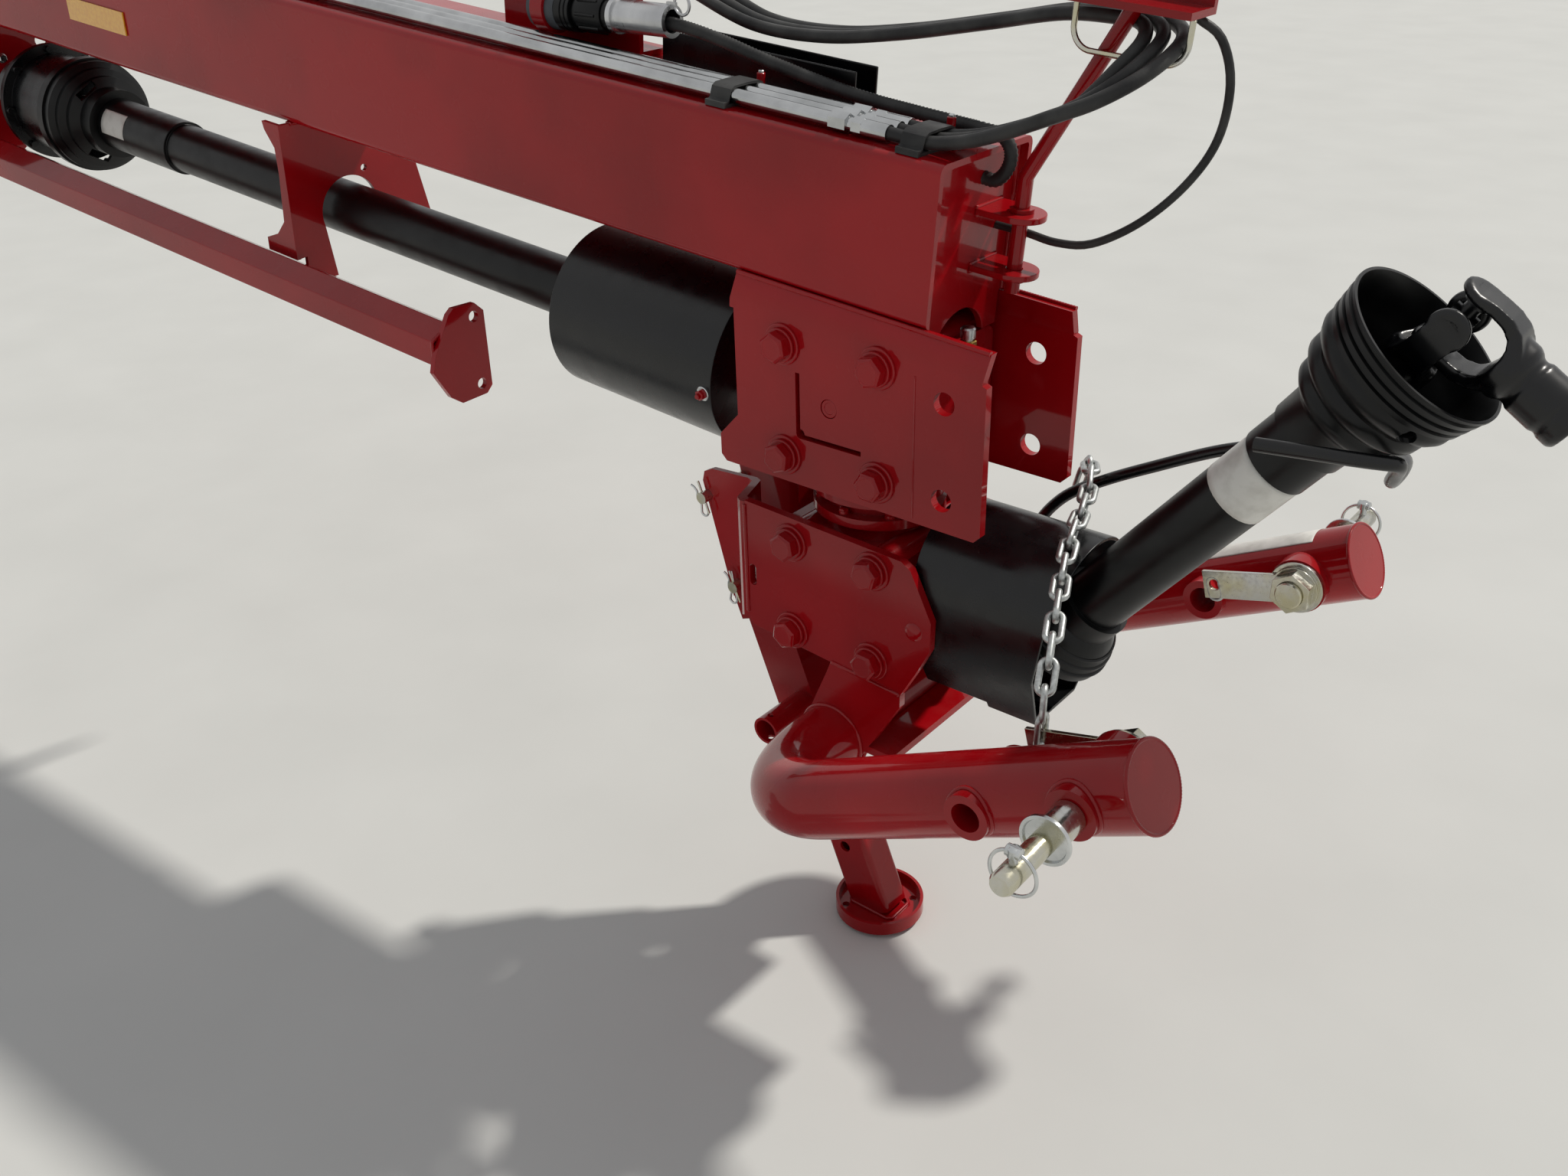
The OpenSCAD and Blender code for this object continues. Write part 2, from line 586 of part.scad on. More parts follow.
module stand_leg() color(red) leg() {
  difference() {
    translate([0, 0, 12]) linear_extrude(leg_len) difference() {
      rrect(leg_w, leg_t, 9);
      rrect(leg_w - 10, leg_t - 10, 4);
    }
    for (w = [425, 505, 585]) translate([pin_back, 0, w]) ycyl(-80, 80, 9.5);
    translate([-5, 0, 118]) ycyl(-80, 80, 9.5);
    translate([leg_w / 2 - 8, -7, 150]) cube([20, 14, 150]);
  }
  rotate([0, lean, 0]) difference() {
    union() {
      translate([0, 0, -8]) cylinder(h = 8, r = foot_d / 2);
      difference() {
        cylinder(h = 14, r = foot_d / 2);
        translate([0, 0, -1]) cylinder(h = 16, r = foot_d / 2 - 5);
      }
    }
    for (a = [45:90:359]) rotate(a) translate([foot_d / 2 - 16, 0, -9]) cylinder(h = 10, r = 6);
  }
  translate([0, 0, -2]) linear_extrude(16) rrect(leg_w - 2, leg_t, 9);
}
// safety chain: from the near lock plate over the shield, its free end over the bent rod
link_pitch = 32.8;
chain_links = 17;
chain_route = [[399.8, -236, -24.9], [399.8, -236, 8], [396, -229, 36], [386, -204, 62],
  [370, -168, 84], [352, -128, 98], [334, -88, 108], [318, -50, 119], [304, -6, 130],
  [290, 40, 133], [270, 92, 138], [250, 130, 150], [226, 161, 124], [214, 167, 86], [208, 170, 44]];
function along(p, s, i = 0) = let (l = norm(p[i + 1] - p[i]))
  s <= l || i == len(p) - 2 ? p[i] + (p[i + 1] - p[i]) * s / l : along(p, s - l, i + 1);
chain_path = [for (i = [0:chain_links]) along(chain_route, i * link_pitch)];
module link(l) {
  for (y = [-9, 9]) translate([-l, y, 0]) rotate([0, 90, 0]) cylinder(h = 2 * l, r = 4, $fn = 8);
  for (m = [0, 1]) mirror([m, 0, 0]) translate([l, 0, 0]) rotate(-90)
    rotate_extrude(angle = 180, $fn = 10) translate([9, 0]) circle(r = 4, $fn = 8);
}
module safety_chain() color(steel) head() for (i = [0:len(chain_path) - 2]) {
  d = chain_path[i + 1] - chain_path[i];
  translate((chain_path[i] + chain_path[i + 1]) / 2)
    rotate([0, -asin(d[2] / norm(d)), atan2(d[1], d[0])])
      rotate([i % 2 * 90, 0, 0]) link(11.7);
}
module input_yoke() color(black) head() translate([0, 0, joint_z]) {
  xcyl(42, 225, spin_r);
  xcyl(165, 222, 30);
  for (s = [-1, 1]) translate([0, s * 34 - 6, 0]) difference() {
    union() {
      translate([216, 0, -21]) cube([joint_x - 216, 12, 42]);
      translate([joint_x, 0, 0]) ycyl(0, 12, 21);
    }
    translate([joint_x, 0, 0]) ycyl(-1, 13, 10.05);
  }
}
// shaft support, guards and shaft
module shaft_support() color(black) head() {
  translate([hinge_x, 0, hinge_z]) ycyl(plate_in + 0.4, 132, 8);
  sweep([[175, 132, 40], [196, 132, 72], [223, 134, 100], [270, 137, 131], [328, 141, 163],
    [418, 146, 209], [500, 142, 240], [570, 128, 262], [620, 100, 280], [655, 60, 292],
    [668, 10, 300], [672, -34, 306], [686, -72, 336], [690, -92, 350], [680, -104, 354],
    [650, -108, 352], [552, -110, 343]], 8, 12);
}
module rear_guard_tube() color(black) shaft() difference() {
  union() {
    xcyl(60, 398, pto_r);
    sphere(r = 74);
    xcyl(56, 84, pto_r + 7);
  }
  difference() {
    xcyl(20, 399, pto_r - 4);
    xcyl(78, 86, pto_r);
  }
  sphere(r = 69);
  xcyl(-80, 0, 90);
  xcyl(70, 90, 29.1);
}
module rear_yoke() color(black) shaft() {
  difference() {
    union() {
      xcyl(44, 380, 29);
      xcyl(36, 52, 40);
    }
    xcyl(62, 381, 22.3);
  }
  ycyl(-40, 40, 10);
  translate([0, 0, -40]) cylinder(h = 80, r = 10);
  for (s = [-1, 1]) translate([0, 0, s * 34 - 6]) {
    translate([0, -21, 0]) cube([40, 42, 12]);
    cylinder(h = 12, r = 21);
  }
}
module front_guard_tube() color(black) shaft() difference() {
  xcyl(150, 508, pto_r - 4 - slide_gap);
  xcyl(149, 500, pto_r - 8 - slide_gap);
  xcyl(499, 509, 22.1);
}
module cone_profile(g) polygon([for (q = [[400, 0], [400, 55 - g], [430, 58 - g], [462, 60 - g],
  [466, 66 - g], [482, 70 - g], [505, 76 - g], [517, 82 - g], [533, 88 - g], [545, 97 - g],
  [553, 101 - g], [566, 102 - g], [568, 99 - g], [571, 99 - g], [573, 103 - g], [583, 103 - g],
  [585, 100 - g], [588, 100 - g], [590, 104 - g], [612, 104 - g], [612, 0]]) [q[1], q[0]]]);
module cone_guard() color(black) shaft() difference() {
  rotate([0, 90, 0]) rotate_extrude() cone_profile(0);
  difference() {
    rotate([0, 90, 0]) rotate_extrude() cone_profile(4);
    xcyl(399, 406, 70);
  }
  xcyl(606, 613, 100);
  xcyl(398, 410, pto_r - 4 - slide_gap + 0.2);
  translate([585, -95, 0]) rotate([90, 0, 0]) scale(1.6) cylinder(h = 20, r = 8, center = true);
}
module shaft_yoke() color(black) shaft() {
  xcyl(120, 590, 22);
  xcyl(556, 592, 32);
  for (s = [-1, 1]) translate([0, s * 34 - 6, 0]) difference() {
    union() {
      translate([586, 0, -23]) cube([62, 12, 46]);
      translate([cross_at, 0, 0]) ycyl(0, 12, 23);
    }
    translate([cross_at, 0, 0]) ycyl(-1, 13, 10.05);
  }
}
module tractor_yoke() color(black) shaft() translate([cross_at, 0, 0]) rotate([0, 85, 0]) {
  ycyl(-40, 40, 10);
  translate([0, 0, -40]) cylinder(h = 80, r = 10);
  for (s = [-1, 1]) translate([0, 0, s * 34 - 6]) {
    translate([0, -23, 0]) cube([66, 46, 12]);
    cylinder(h = 12, r = 26);
  }
  difference() {
    union() {
      xcyl(52, 104, 36);
      xcyl(100, 150, 30);
    }
    xcyl(70, 151, 17.5);
  }
}
tongue_beam();
pivot_hub();
front_plate();
upper_side_plates();
upper_gearbox();
upper_gearbox_bolts();
breather();
bell_guard();
shaft_guard_tube();
drive_shaft();
clutch_guard();
clutch_drum();
mid_hanger();
side_rail();
rail_bulkhead();
rail_end_plate();
hydraulic_lines();
line_clamps();
line_fittings();
side_reflector();
coupler_bracket();
parked_plug();
plug_sleeve();
parked_couplers();
hose_trough();
hose_arm_lugs();
hose_arm();
hose_rings();
hose_right();
hose_middle();
hose_left();
electric_cable();
plug_harness();
lower_gearbox();
lower_side_plates();
lower_gearbox_bolts();
hitch_yoke();
link_pins();
pin_hardware();
linch_pins();
input_shield();
stand_bracket();
bracket_pins();
safety_chain();
input_yoke();
stand_leg();
shaft_support();
rear_guard_tube();
rear_yoke();
front_guard_tube();
cone_guard();
shaft_yoke();
tractor_yoke();
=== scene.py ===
# %% [markdown]
# # Front drawbar of a trailed mower conditioner
# The real machine is folded, welded and sprayed steel: a box beam, two gearboxes one above the
# other on a swivel neck, a U-shaped yoke tube that hooks to the tractor, and a guarded power
# shaft parked on a bent rod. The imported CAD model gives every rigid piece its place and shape.
# This script dresses it: the finishes, the rounded edges, the hoses, the wires and the welds.

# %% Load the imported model
import math

import bmesh
import bpy
from mathutils import Matrix, Vector


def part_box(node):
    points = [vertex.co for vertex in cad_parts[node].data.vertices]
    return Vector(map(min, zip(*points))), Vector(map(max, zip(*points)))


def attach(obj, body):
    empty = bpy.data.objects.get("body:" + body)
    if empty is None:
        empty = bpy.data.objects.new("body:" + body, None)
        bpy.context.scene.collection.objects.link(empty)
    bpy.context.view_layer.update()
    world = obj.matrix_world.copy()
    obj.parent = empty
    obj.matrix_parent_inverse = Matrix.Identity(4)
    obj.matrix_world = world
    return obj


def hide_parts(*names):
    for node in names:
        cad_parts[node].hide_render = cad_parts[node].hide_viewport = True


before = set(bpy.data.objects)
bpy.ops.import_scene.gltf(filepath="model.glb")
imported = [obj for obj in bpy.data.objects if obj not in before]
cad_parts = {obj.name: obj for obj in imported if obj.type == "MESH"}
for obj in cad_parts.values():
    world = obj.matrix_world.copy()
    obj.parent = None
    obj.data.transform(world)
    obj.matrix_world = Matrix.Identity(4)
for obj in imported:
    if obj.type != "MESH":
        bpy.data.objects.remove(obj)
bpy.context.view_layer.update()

# %% [markdown]
# The drawings of the machine are in millimetres, and each group of pieces has its own frame: the
# sloping beam, the drive line under it, the tilted yoke, the leaning stand leg and the parked
# shaft. A matrix for each frame lets every piece below be written where a fitter would measure
# it, and turns its points into the shared frame in metres. The first frame, HEAD, has its zero
# on the swivel's axis at the height of the link pins, and the others start from it.

# %% Frames of the machine, in millimetres and degrees
MM = 0.001
PIVOT_TO_SWIVEL, PIVOT_OVER_PINS, PIN_X, BEAM_TOP = 2450, 686, 508, 198
BEAM_FRONT, DRIVE_START, LEG_FOOT = (135, 0, 375), (0, 0, 222), (7, 0, -648)
SHAFT_JOINT, PLUG_NOSE = (287, 0, -31), (-660, -8, BEAM_TOP + 55.2)
SLOPE, TILT, LEAN, PARKED, PLUG_DIP = 4.7, 27, 22, 51, 4


def at(x, y, z):
    return Matrix.Translation((x, y, z))


def turned(axis, degrees):
    return Matrix.Rotation(math.radians(degrees), 4, axis)


HEAD = Matrix.Scale(MM, 4) @ at(PIVOT_TO_SWIVEL, 0, -PIVOT_OVER_PINS)
BEAM = HEAD @ at(*BEAM_FRONT) @ turned("Y", SLOPE)
DRIVE = HEAD @ at(*DRIVE_START) @ turned("Y", SLOPE)
YOKE = HEAD @ at(PIN_X, 0, 0) @ turned("Y", -TILT)
LEG = HEAD @ at(*LEG_FOOT) @ turned("Y", -LEAN)
SHAFT = HEAD @ at(*SHAFT_JOINT) @ turned("Y", -PARKED)
PLUG = BEAM @ at(*PLUG_NOSE) @ turned("Y", -PLUG_DIP)
print("front end of the beam", [round(v, 3) for v in BEAM.translation])

# %% [markdown]
# The camera stands where the photograph was taken, at the front right of the machine and above
# it, with a 33 mm lens. Its place was worked out from the bolt holes of the side plates. It is
# turned to its compass direction, tipped up from looking straight down, and rolled a little.

# %% Camera, with its angles in radians
CAMERA_AZIMUTH, CAMERA_ELEVATION, CAMERA_ROLL = 0.6961, 0.5137, -0.0279
CAMERA_SPOT, LENS_MM, FILM_MM = (1043.6, -1461.6, 951.8), 32.9, 36.0


def new_object(name, data):
    obj = bpy.data.objects.new(name, data)
    bpy.context.scene.collection.objects.link(obj)
    return obj


camera_data = bpy.data.cameras.new("photo_camera")
camera_data.lens, camera_data.sensor_width = LENS_MM, FILM_MM
camera = new_object("photo_camera", camera_data)
camera.matrix_world = (at(*HEAD @ Vector(CAMERA_SPOT))
                       @ Matrix.Rotation(CAMERA_AZIMUTH, 4, "Z")
                       @ Matrix.Rotation(math.pi / 2 - CAMERA_ELEVATION, 4, "X")
                       @ Matrix.Rotation(CAMERA_ROLL, 4, "Z"))
bpy.context.scene.camera = camera
print("camera at", [round(v, 3) for v in camera.matrix_world.translation])

# %% [markdown]
# A finish is a small network of nodes. One helper turns the sRGB hex value that a colour chart
# gives into the linear numbers that Blender mixes, and one helper adds a node, sets it and links
# it. A coated finish gets a thin gloss layer, and sheen says how strongly the paint or plastic
# under it mirrors the sky. Metals don't need that, and keep the default.

# %% Helpers for a finish
COAT_ROUGHNESS = 0.05


def srgb(value):
    parts = [int(value[i:i + 2], 16) / 255 for i in (1, 3, 5)]
    return (*[p / 12.92 if p <= 0.04045 else ((p + 0.055) / 1.055) ** 2.4 for p in parts], 1)


def add_node(tree, kind, inputs=None, **settings):
    node = tree.nodes.new("ShaderNode" + kind)
    for name, value in settings.items():
        setattr(node, name, value)
    for name, value in (inputs or {}).items():
        if isinstance(value, bpy.types.NodeSocket):
            tree.links.new(value, node.inputs[name])
        else:
            node.inputs[name].default_value = value
    return node


def new_finish(name, metallic=0.0, coat=0.0, sheen=0.5):
    finish = bpy.data.materials.new(name)
    finish.use_nodes = True
    shader = finish.node_tree.nodes["Principled BSDF"]
    shader.inputs["Metallic"].default_value = metallic
    shader.inputs["Coat Weight"].default_value = coat
    shader.inputs["Coat Roughness"].default_value = COAT_ROUGHNESS
    if not metallic:
        shader.inputs["Specular IOR Level"].default_value = sheen
    return finish, finish.node_tree, shader


print("mid grey as a linear number", round(srgb("#808080")[0], 3))

# %% [markdown]
# No real surface has one even colour or gloss. Noise gives it clouds, grains and scratches, and
# their size is given in millimetres: all objects sit at the origin, so object coordinates are
# metres, and a texture's scale is one over the real size. One helper makes that pattern, one
# lets a number or a colour wander with it, and one raises it as a fine relief. A Mix node takes
# two colours at its sockets 6 and 7, and gives the result at its output 2.

# %% Helpers for grain, wandering values and relief
MIX_A, MIX_B, MIX_OUT = 6, 7, 2


def grain(tree, size_mm, detail=4.0, stretch=(1, 1, 1)):
    """Noise whose grains are about size_mm across."""
    place = add_node(tree, "TexCoord")
    scaled = add_node(tree, "Mapping", {"Vector": place.outputs["Object"], "Scale": stretch})
    noise = add_node(tree, "TexNoise", {"Vector": scaled.outputs["Vector"],
                                        "Scale": 1000 / size_mm, "Detail": detail})
    return noise.outputs["Fac"]


def wander(tree, pattern, low, high, start=0.35, end=0.65):
    """A number or a colour that goes from low to high as pattern goes from start to end."""
    colours = isinstance(high, tuple)
    limits = {"To Min": 0, "To Max": 1} if colours else {"To Min": low, "To Max": high}
    share = add_node(tree, "MapRange", {"Value": pattern, "From Min": start, "From Max": end,
                                        **limits}).outputs["Result"]
    if not colours:
        return share
    return add_node(tree, "Mix", {"Factor": share, MIX_A: low, MIX_B: high},
                    data_type="RGBA").outputs[MIX_OUT]


def relief(tree, shader, size_mm, strength, depth_mm, detail=2.0, stretch=(1, 1, 1)):
    """Raise grains of size_mm by a bump of depth_mm."""
    bump = add_node(tree, "Bump", {"Height": grain(tree, size_mm, detail, stretch),
                                   "Strength": strength, "Distance": depth_mm * MM})
    tree.links.new(bump.outputs["Normal"], shader.inputs["Normal"])


print("a grain of 50 mm has the scale", 1000 / 50)

# %% [markdown]
# Most of the machine is red alkyd enamel, sprayed over blasted steel and baked. It is a deep,
# slightly blue red with a wet gloss on top, so the shader gets a clear coat. Large sheets vary
# a little in shade, and thin pale dust lies on what faces up. Spray leaves an orange peel of
# about 2 mm, which would be too fine to show, so it is drawn 7 mm wide. The same enamel on the
# gearboxes covers sand-cast iron, whose grain of about 3 mm shows through, and on the welds it
# lies over ripples.

# %% Red enamel on steel and on cast iron
RED_DEEP, RED_BRIGHT, PALE_DUST = srgb("#94060F"), srgb("#AC0C16"), srgb("#B08C86")
SHADE_MM, GLOSS_MM, DUST_MM, MOST_DUST = 260, 70, 38, 0.035


def red_enamel(name, skin_mm, skin_strength, skin_depth_mm):
    finish, tree, shader = new_finish(name, coat=0.6, sheen=0.05)
    paint = wander(tree, grain(tree, SHADE_MM, 3.0), RED_DEEP, RED_BRIGHT)
    facing = add_node(tree, "SeparateXYZ",
                      {"Vector": add_node(tree, "NewGeometry").outputs["Normal"]})
    lies = wander(tree, facing.outputs["Z"], 0, 1, 0.35, 1.0)
    specks = wander(tree, grain(tree, DUST_MM, 8.0), 0.0, MOST_DUST, 0.45, 0.75)
    dust = add_node(tree, "Math", {0: lies, 1: specks}, operation="MULTIPLY").outputs["Value"]
    tree.links.new(wander(tree, dust, paint, PALE_DUST, 0, 1), shader.inputs["Base Color"])
    tree.links.new(wander(tree, grain(tree, GLOSS_MM, 6.0), 0.20, 0.32, 0.3, 0.7),
                   shader.inputs["Roughness"])
    relief(tree, shader, skin_mm, skin_strength, skin_depth_mm)
    return finish


red_on_steel = red_enamel("red_enamel_on_steel", 7, 0.10, 0.2)
red_on_casting = red_enamel("red_enamel_on_cast_iron", 3, 0.5, 0.5)
red_on_weld = red_enamel("red_enamel_on_weld", 6, 0.35, 0.5)
print("red finishes", red_on_steel.name, red_on_casting.name, red_on_weld.name)

# %% [markdown]
# The bell guard, the shield and the shaft ends are steel with satin black paint, which mirrors
# the sky softly. The guard tubes and the cone are moulded polyethylene, which is duller and has
# the spark-eroded grain of its mould. The hoses are rubber under a woven wrap, greyer and matt.
# The rear half of the parked plug is grey nylon with glass fibre in it. These grains are finer
# than a millimetre, and are drawn 2.5 to 5 mm wide so that they show.

# %% Black paint, moulded plastic and hose rubber
def black_finish(name, colour, pale, low, high, grain_mm, strength, depth_mm, sheen=0.3):
    finish, tree, shader = new_finish(name, sheen=sheen)
    tree.links.new(wander(tree, grain(tree, 55, 6.0), srgb(colour), srgb(pale), 0.35, 0.7),
                   shader.inputs["Base Color"])
    tree.links.new(wander(tree, grain(tree, 30, 5.0), low, high, 0.3, 0.7),
                   shader.inputs["Roughness"])
    relief(tree, shader, grain_mm, strength, depth_mm)
    return finish


black_paint = black_finish("satin_black_paint_on_steel", "#050608", "#0A0B0E", 0.22, 0.34,
                           5, 0.08, 0.2, sheen=0.45)
black_plastic = black_finish("moulded_black_polyethylene", "#050607", "#0B0C0D", 0.28, 0.42,
                             2.5, 0.15, 0.2)
hose_wrap = black_finish("wrapped_black_hose_rubber", "#232324", "#474746", 0.42, 0.6,
                         3, 0.45, 0.5)
grey_nylon = black_finish("grey_glass_filled_nylon", "#4A4D52", "#5A5E63", 0.42, 0.55,
                          2.5, 0.25, 0.2)
print("black finishes", black_paint.name, black_plastic.name, hose_wrap.name)

# %% [markdown]
# The bright metal differs by how it was coated. Pins and nuts are zinc plated and passivated
# yellow, of which only a slight warm cast is left, in clouds of a few centimetres. Clips, caps
# and flanges have the plain silver plating. The pipes are drawn steel, plated pale and even,
# with fine lines along their length. The chain was dipped in molten zinc, so it is grey, dull
# and mottled with crystals of about 6 mm. The breather's hexagon is brass. Its cap and the
# sleeve of the parked plug are aluminium, on which the lathe tool left fine rings.

# %% Bright metals
ALL_WAYS, ALONG_PIPE, ROUND_SLEEVE = (1, 1, 1), (0.06, 1, 1), (1, 0.08, 0.08)


def metal_finish(name, colour, cast, low, high, cloud_mm, scratch=ALL_WAYS):
    finish, tree, shader = new_finish(name, metallic=1.0)
    tree.links.new(wander(tree, grain(tree, cloud_mm, 5.0), srgb(colour), srgb(cast)),
                   shader.inputs["Base Color"])
    tree.links.new(wander(tree, grain(tree, 6, 6.0, scratch), low, high, 0.3, 0.7),
                   shader.inputs["Roughness"])
    relief(tree, shader, 4, 0.08, 0.1, 4.0, scratch)
    return finish


zinc_plate = metal_finish("yellow_passivated_zinc_on_steel", "#CBCBC8", "#C4BE9F",
                          0.14, 0.30, 45)
line_steel = metal_finish("plated_drawn_steel_pipe", "#C6C8C9", "#A9ABAC",
                          0.12, 0.26, 60, ALONG_PIPE)
silver_plate = metal_finish("silver_zinc_plate_on_steel", "#D6D8D8", "#BFC2C2", 0.16, 0.30, 30)
dipped_zinc = metal_finish("hot_dipped_galvanised_steel", "#C4C7C6", "#A3A6A5", 0.34, 0.55, 6)
turned_brass = metal_finish("turned_brass", "#B89A55", "#A08243", 0.22, 0.34, 20)
turned_aluminium = metal_finish("turned_aluminium", "#C9CACB", "#B5B6B8",
                                0.24, 0.38, 40, ROUND_SLEEVE)
print("metals", zinc_plate.name, line_steel.name, dipped_zinc.name)

# %% [markdown]
# Two small things remain: the amber reflector, clear acrylic whose back is moulded in tiny
# prisms, and white vinyl for the bare labels, which has a soft sheen and picks up grey dirt.
# The prisms are cells 6 mm wide, twice the real size, so that they show.

# %% Reflector and vinyl
PRISM_MM = 6
amber_acrylic, tree, shader = new_finish("prismatic_amber_acrylic", coat=0.8)
prisms = add_node(tree, "TexVoronoi", {"Vector": add_node(tree, "TexCoord").outputs["Object"],
                                       "Scale": 1000 / PRISM_MM}).outputs["Distance"]
tree.links.new(wander(tree, prisms, srgb("#FFC028"), srgb("#F0A418"), 0, 1),
               shader.inputs["Base Color"])
shader.inputs["Roughness"].default_value = 0.18
facets = add_node(tree, "Bump", {"Height": prisms, "Strength": 0.4, "Distance": 0.4 * MM})
tree.links.new(facets.outputs["Normal"], shader.inputs["Normal"])

white_vinyl, tree, shader = new_finish("white_vinyl_label")
tree.links.new(wander(tree, grain(tree, 30, 7.0), srgb("#E4E3DD"), srgb("#BDBBB3"), 0.45, 0.8),
               shader.inputs["Base Color"])
shader.inputs["Roughness"].default_value = 0.34
relief(tree, shader, 12, 0.06, 0.2)
print("small finishes", amber_acrylic.name, white_vinyl.name)

# %% [markdown]
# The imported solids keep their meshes. They get their finish, and modifiers round their edges,
# because folded and sawn plate never has a knife edge: the thin line of light along each edge
# is what makes a plate look real. Weld and a planar dissolve turn the triangles back into
# whole faces first, so that the bevel runs cleanly along the true edges only.

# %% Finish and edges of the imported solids
NODE_FINISH = {
    red_on_steel: ["tongue_beam", "pivot_hub", "front_plate", "upper_side_plates", "mid_hanger",
                   "side_rail", "rail_bulkhead", "rail_end_plate", "coupler_bracket",
                   "hose_arm_lugs", "hose_arm", "lower_side_plates", "hitch_yoke",
                   "stand_bracket", "stand_leg"],
    red_on_casting: ["upper_gearbox", "lower_gearbox"],
    black_paint: ["bell_guard", "drive_shaft", "clutch_drum", "hose_trough", "input_shield",
                  "input_yoke", "rear_yoke"],
    black_plastic: ["shaft_guard_tube", "clutch_guard", "rear_guard_tube", "front_guard_tube"],
    zinc_plate: ["hose_rings", "bracket_pins", "pin_hardware"],
    line_steel: ["hydraulic_lines", "parked_couplers", "line_fittings"],
    turned_aluminium: ["plug_sleeve"],
    amber_acrylic: ["side_reflector"],
}
EDGE_MM = {"line_fittings": 0.5, "hose_rings": 0.4, "pin_hardware": 0.6, "bracket_pins": 0.4,
           "plug_sleeve": 0.5, "side_reflector": 0.6, "hydraulic_lines": 0.4}
PLATE_EDGE_MM, JOIN_MM, FLAT_DEGREES, EDGE_DEGREES = 1.4, 0.02, 0.8, 34


def bevel_edges(obj, width_mm, degrees):
    bevel = obj.modifiers.new("rounded_edges", "BEVEL")
    bevel.width, bevel.segments = width_mm * MM, 2
    bevel.limit_method, bevel.angle_limit = "ANGLE", math.radians(degrees)
    return bevel


def round_edges(obj, width_mm):
    weld = obj.modifiers.new("join_triangles", "WELD")
    weld.merge_threshold = JOIN_MM * MM
    flat = obj.modifiers.new("whole_faces", "DECIMATE")
    flat.decimate_type, flat.angle_limit = "DISSOLVE", math.radians(FLAT_DEGREES)
    bevel_edges(obj, width_mm, EDGE_DEGREES)
    shade = obj.modifiers.new("even_shading", "WEIGHTED_NORMAL")
    shade.keep_sharp, shade.weight = False, 60


for finish, names in NODE_FINISH.items():
    for name in names:
        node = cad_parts[name]
        node.data.materials.clear()
        node.data.materials.append(finish)
        round_edges(node, EDGE_MM.get(name, PLATE_EDGE_MM))
print("finished nodes", sum(len(names) for names in NODE_FINISH.values()))

# %% [markdown]
# New pieces are built as meshes in their own millimetre frame. Two small builders make almost
# everything on such a machine: a turned profile, as from a lathe (pins, ferrules, bolt heads),
# and a swept tube, as from bar or wire (rods, welds, chain links). Both are rings of points
# that are joined into one skin.

# %% Builders for turned and swept pieces
def join_rings(shape, rings, closed):
    """Faces from ring to ring, and a cap at each end unless the rings close on themselves."""
    count = len(rings[0])
    for low, high in zip(rings, rings[1:] + (rings[:1] if closed else [])):
        for k in range(count):
            n = (k + 1) % count
            shape.faces.new((low[k], low[n], high[n], high[k]))
    if not closed:
        shape.faces.new(rings[0][::-1])
        shape.faces.new(rings[-1])


def turn(shape, profile, steps=40, place=Matrix(), hollow=False):
    """A turned piece about the X axis: profile holds (x, radius) pairs, closed if hollow."""
    angles = [2 * math.pi * k / steps for k in range(steps)]
    join_rings(shape, [[shape.verts.new(place @ Vector((x, r * math.cos(a), r * math.sin(a))))
                        for a in angles] for x, r in profile], hollow)


def sweep(shape, route, radius, sides=10, place=Matrix(), closed=False):
    """A tube along route. radius is a number, or a function of the point's index."""
    size = radius if callable(radius) else lambda i: radius
    angles = [2 * math.pi * k / sides for k in range(sides)]
    pts = [Vector(p) for p in route]
    count, rings, side = len(pts), [], None
    for i, p in enumerate(pts):
        ahead = pts[(i + 1) % count] if closed or i < count - 1 else p
        behind = pts[i - 1] if closed or i else p
        way = (ahead - behind).normalized()
        guess = side if side else way.orthogonal()
        side = (guess - way * guess.dot(way)).normalized()
        other = way.cross(side)
        rings.append([shape.verts.new(place @ (p + size(i) * (math.cos(a) * side
                                                              + math.sin(a) * other)))
                      for a in angles])
    join_rings(shape, rings, closed)


trial = bmesh.new()
turn(trial, [(0, 14), (90, 14)])
print("a plain turned pin has", len(trial.faces), "faces")
trial.free()

# %% [markdown]
# A tube needs a route. One helper draws a smooth curve through a few measured points, and one
# draws a ring or, with its halves moved apart, the long loop of a chain link.

# %% Routes for the swept tubes
def smooth_route(points, step):
    """Points about step apart on one smooth curve through the given ones."""
    pts = [Vector(p) for p in points]
    ends = [2 * pts[0] - pts[1], *pts, 2 * pts[-1] - pts[-2]]
    route = [pts[0]]
    for a, b, c, d in zip(ends, ends[1:], ends[2:], ends[3:]):
        count = max(1, round((c - b).length / step))
        for k in range(1, count + 1):
            t = k / count
            route.append(0.5 * (2 * b + (c - a) * t + (2 * a - 5 * b + 4 * c - d) * t * t
                                + (3 * b - a - 3 * c + d) * t ** 3))
    return route


def ring_route(radius, steps, straight=0.0):
    """A ring in the XZ plane, with its halves moved straight apart for a link."""
    route = []
    for k in range(steps):
        a = 2 * math.pi * (k + 0.5) / steps
        shift = straight if math.cos(a) > 0 else -straight
        route.append((radius * math.cos(a) + shift, 0, radius * math.sin(a)))
    return route


def length_of(route):
    return sum((b - a).length for a, b in zip(route, route[1:]))


bend = smooth_route([(0, 0, 0), (100, 0, 0), (100, 100, 0)], 5)
print("a bend through three points is", round(length_of(bend)), "mm long")
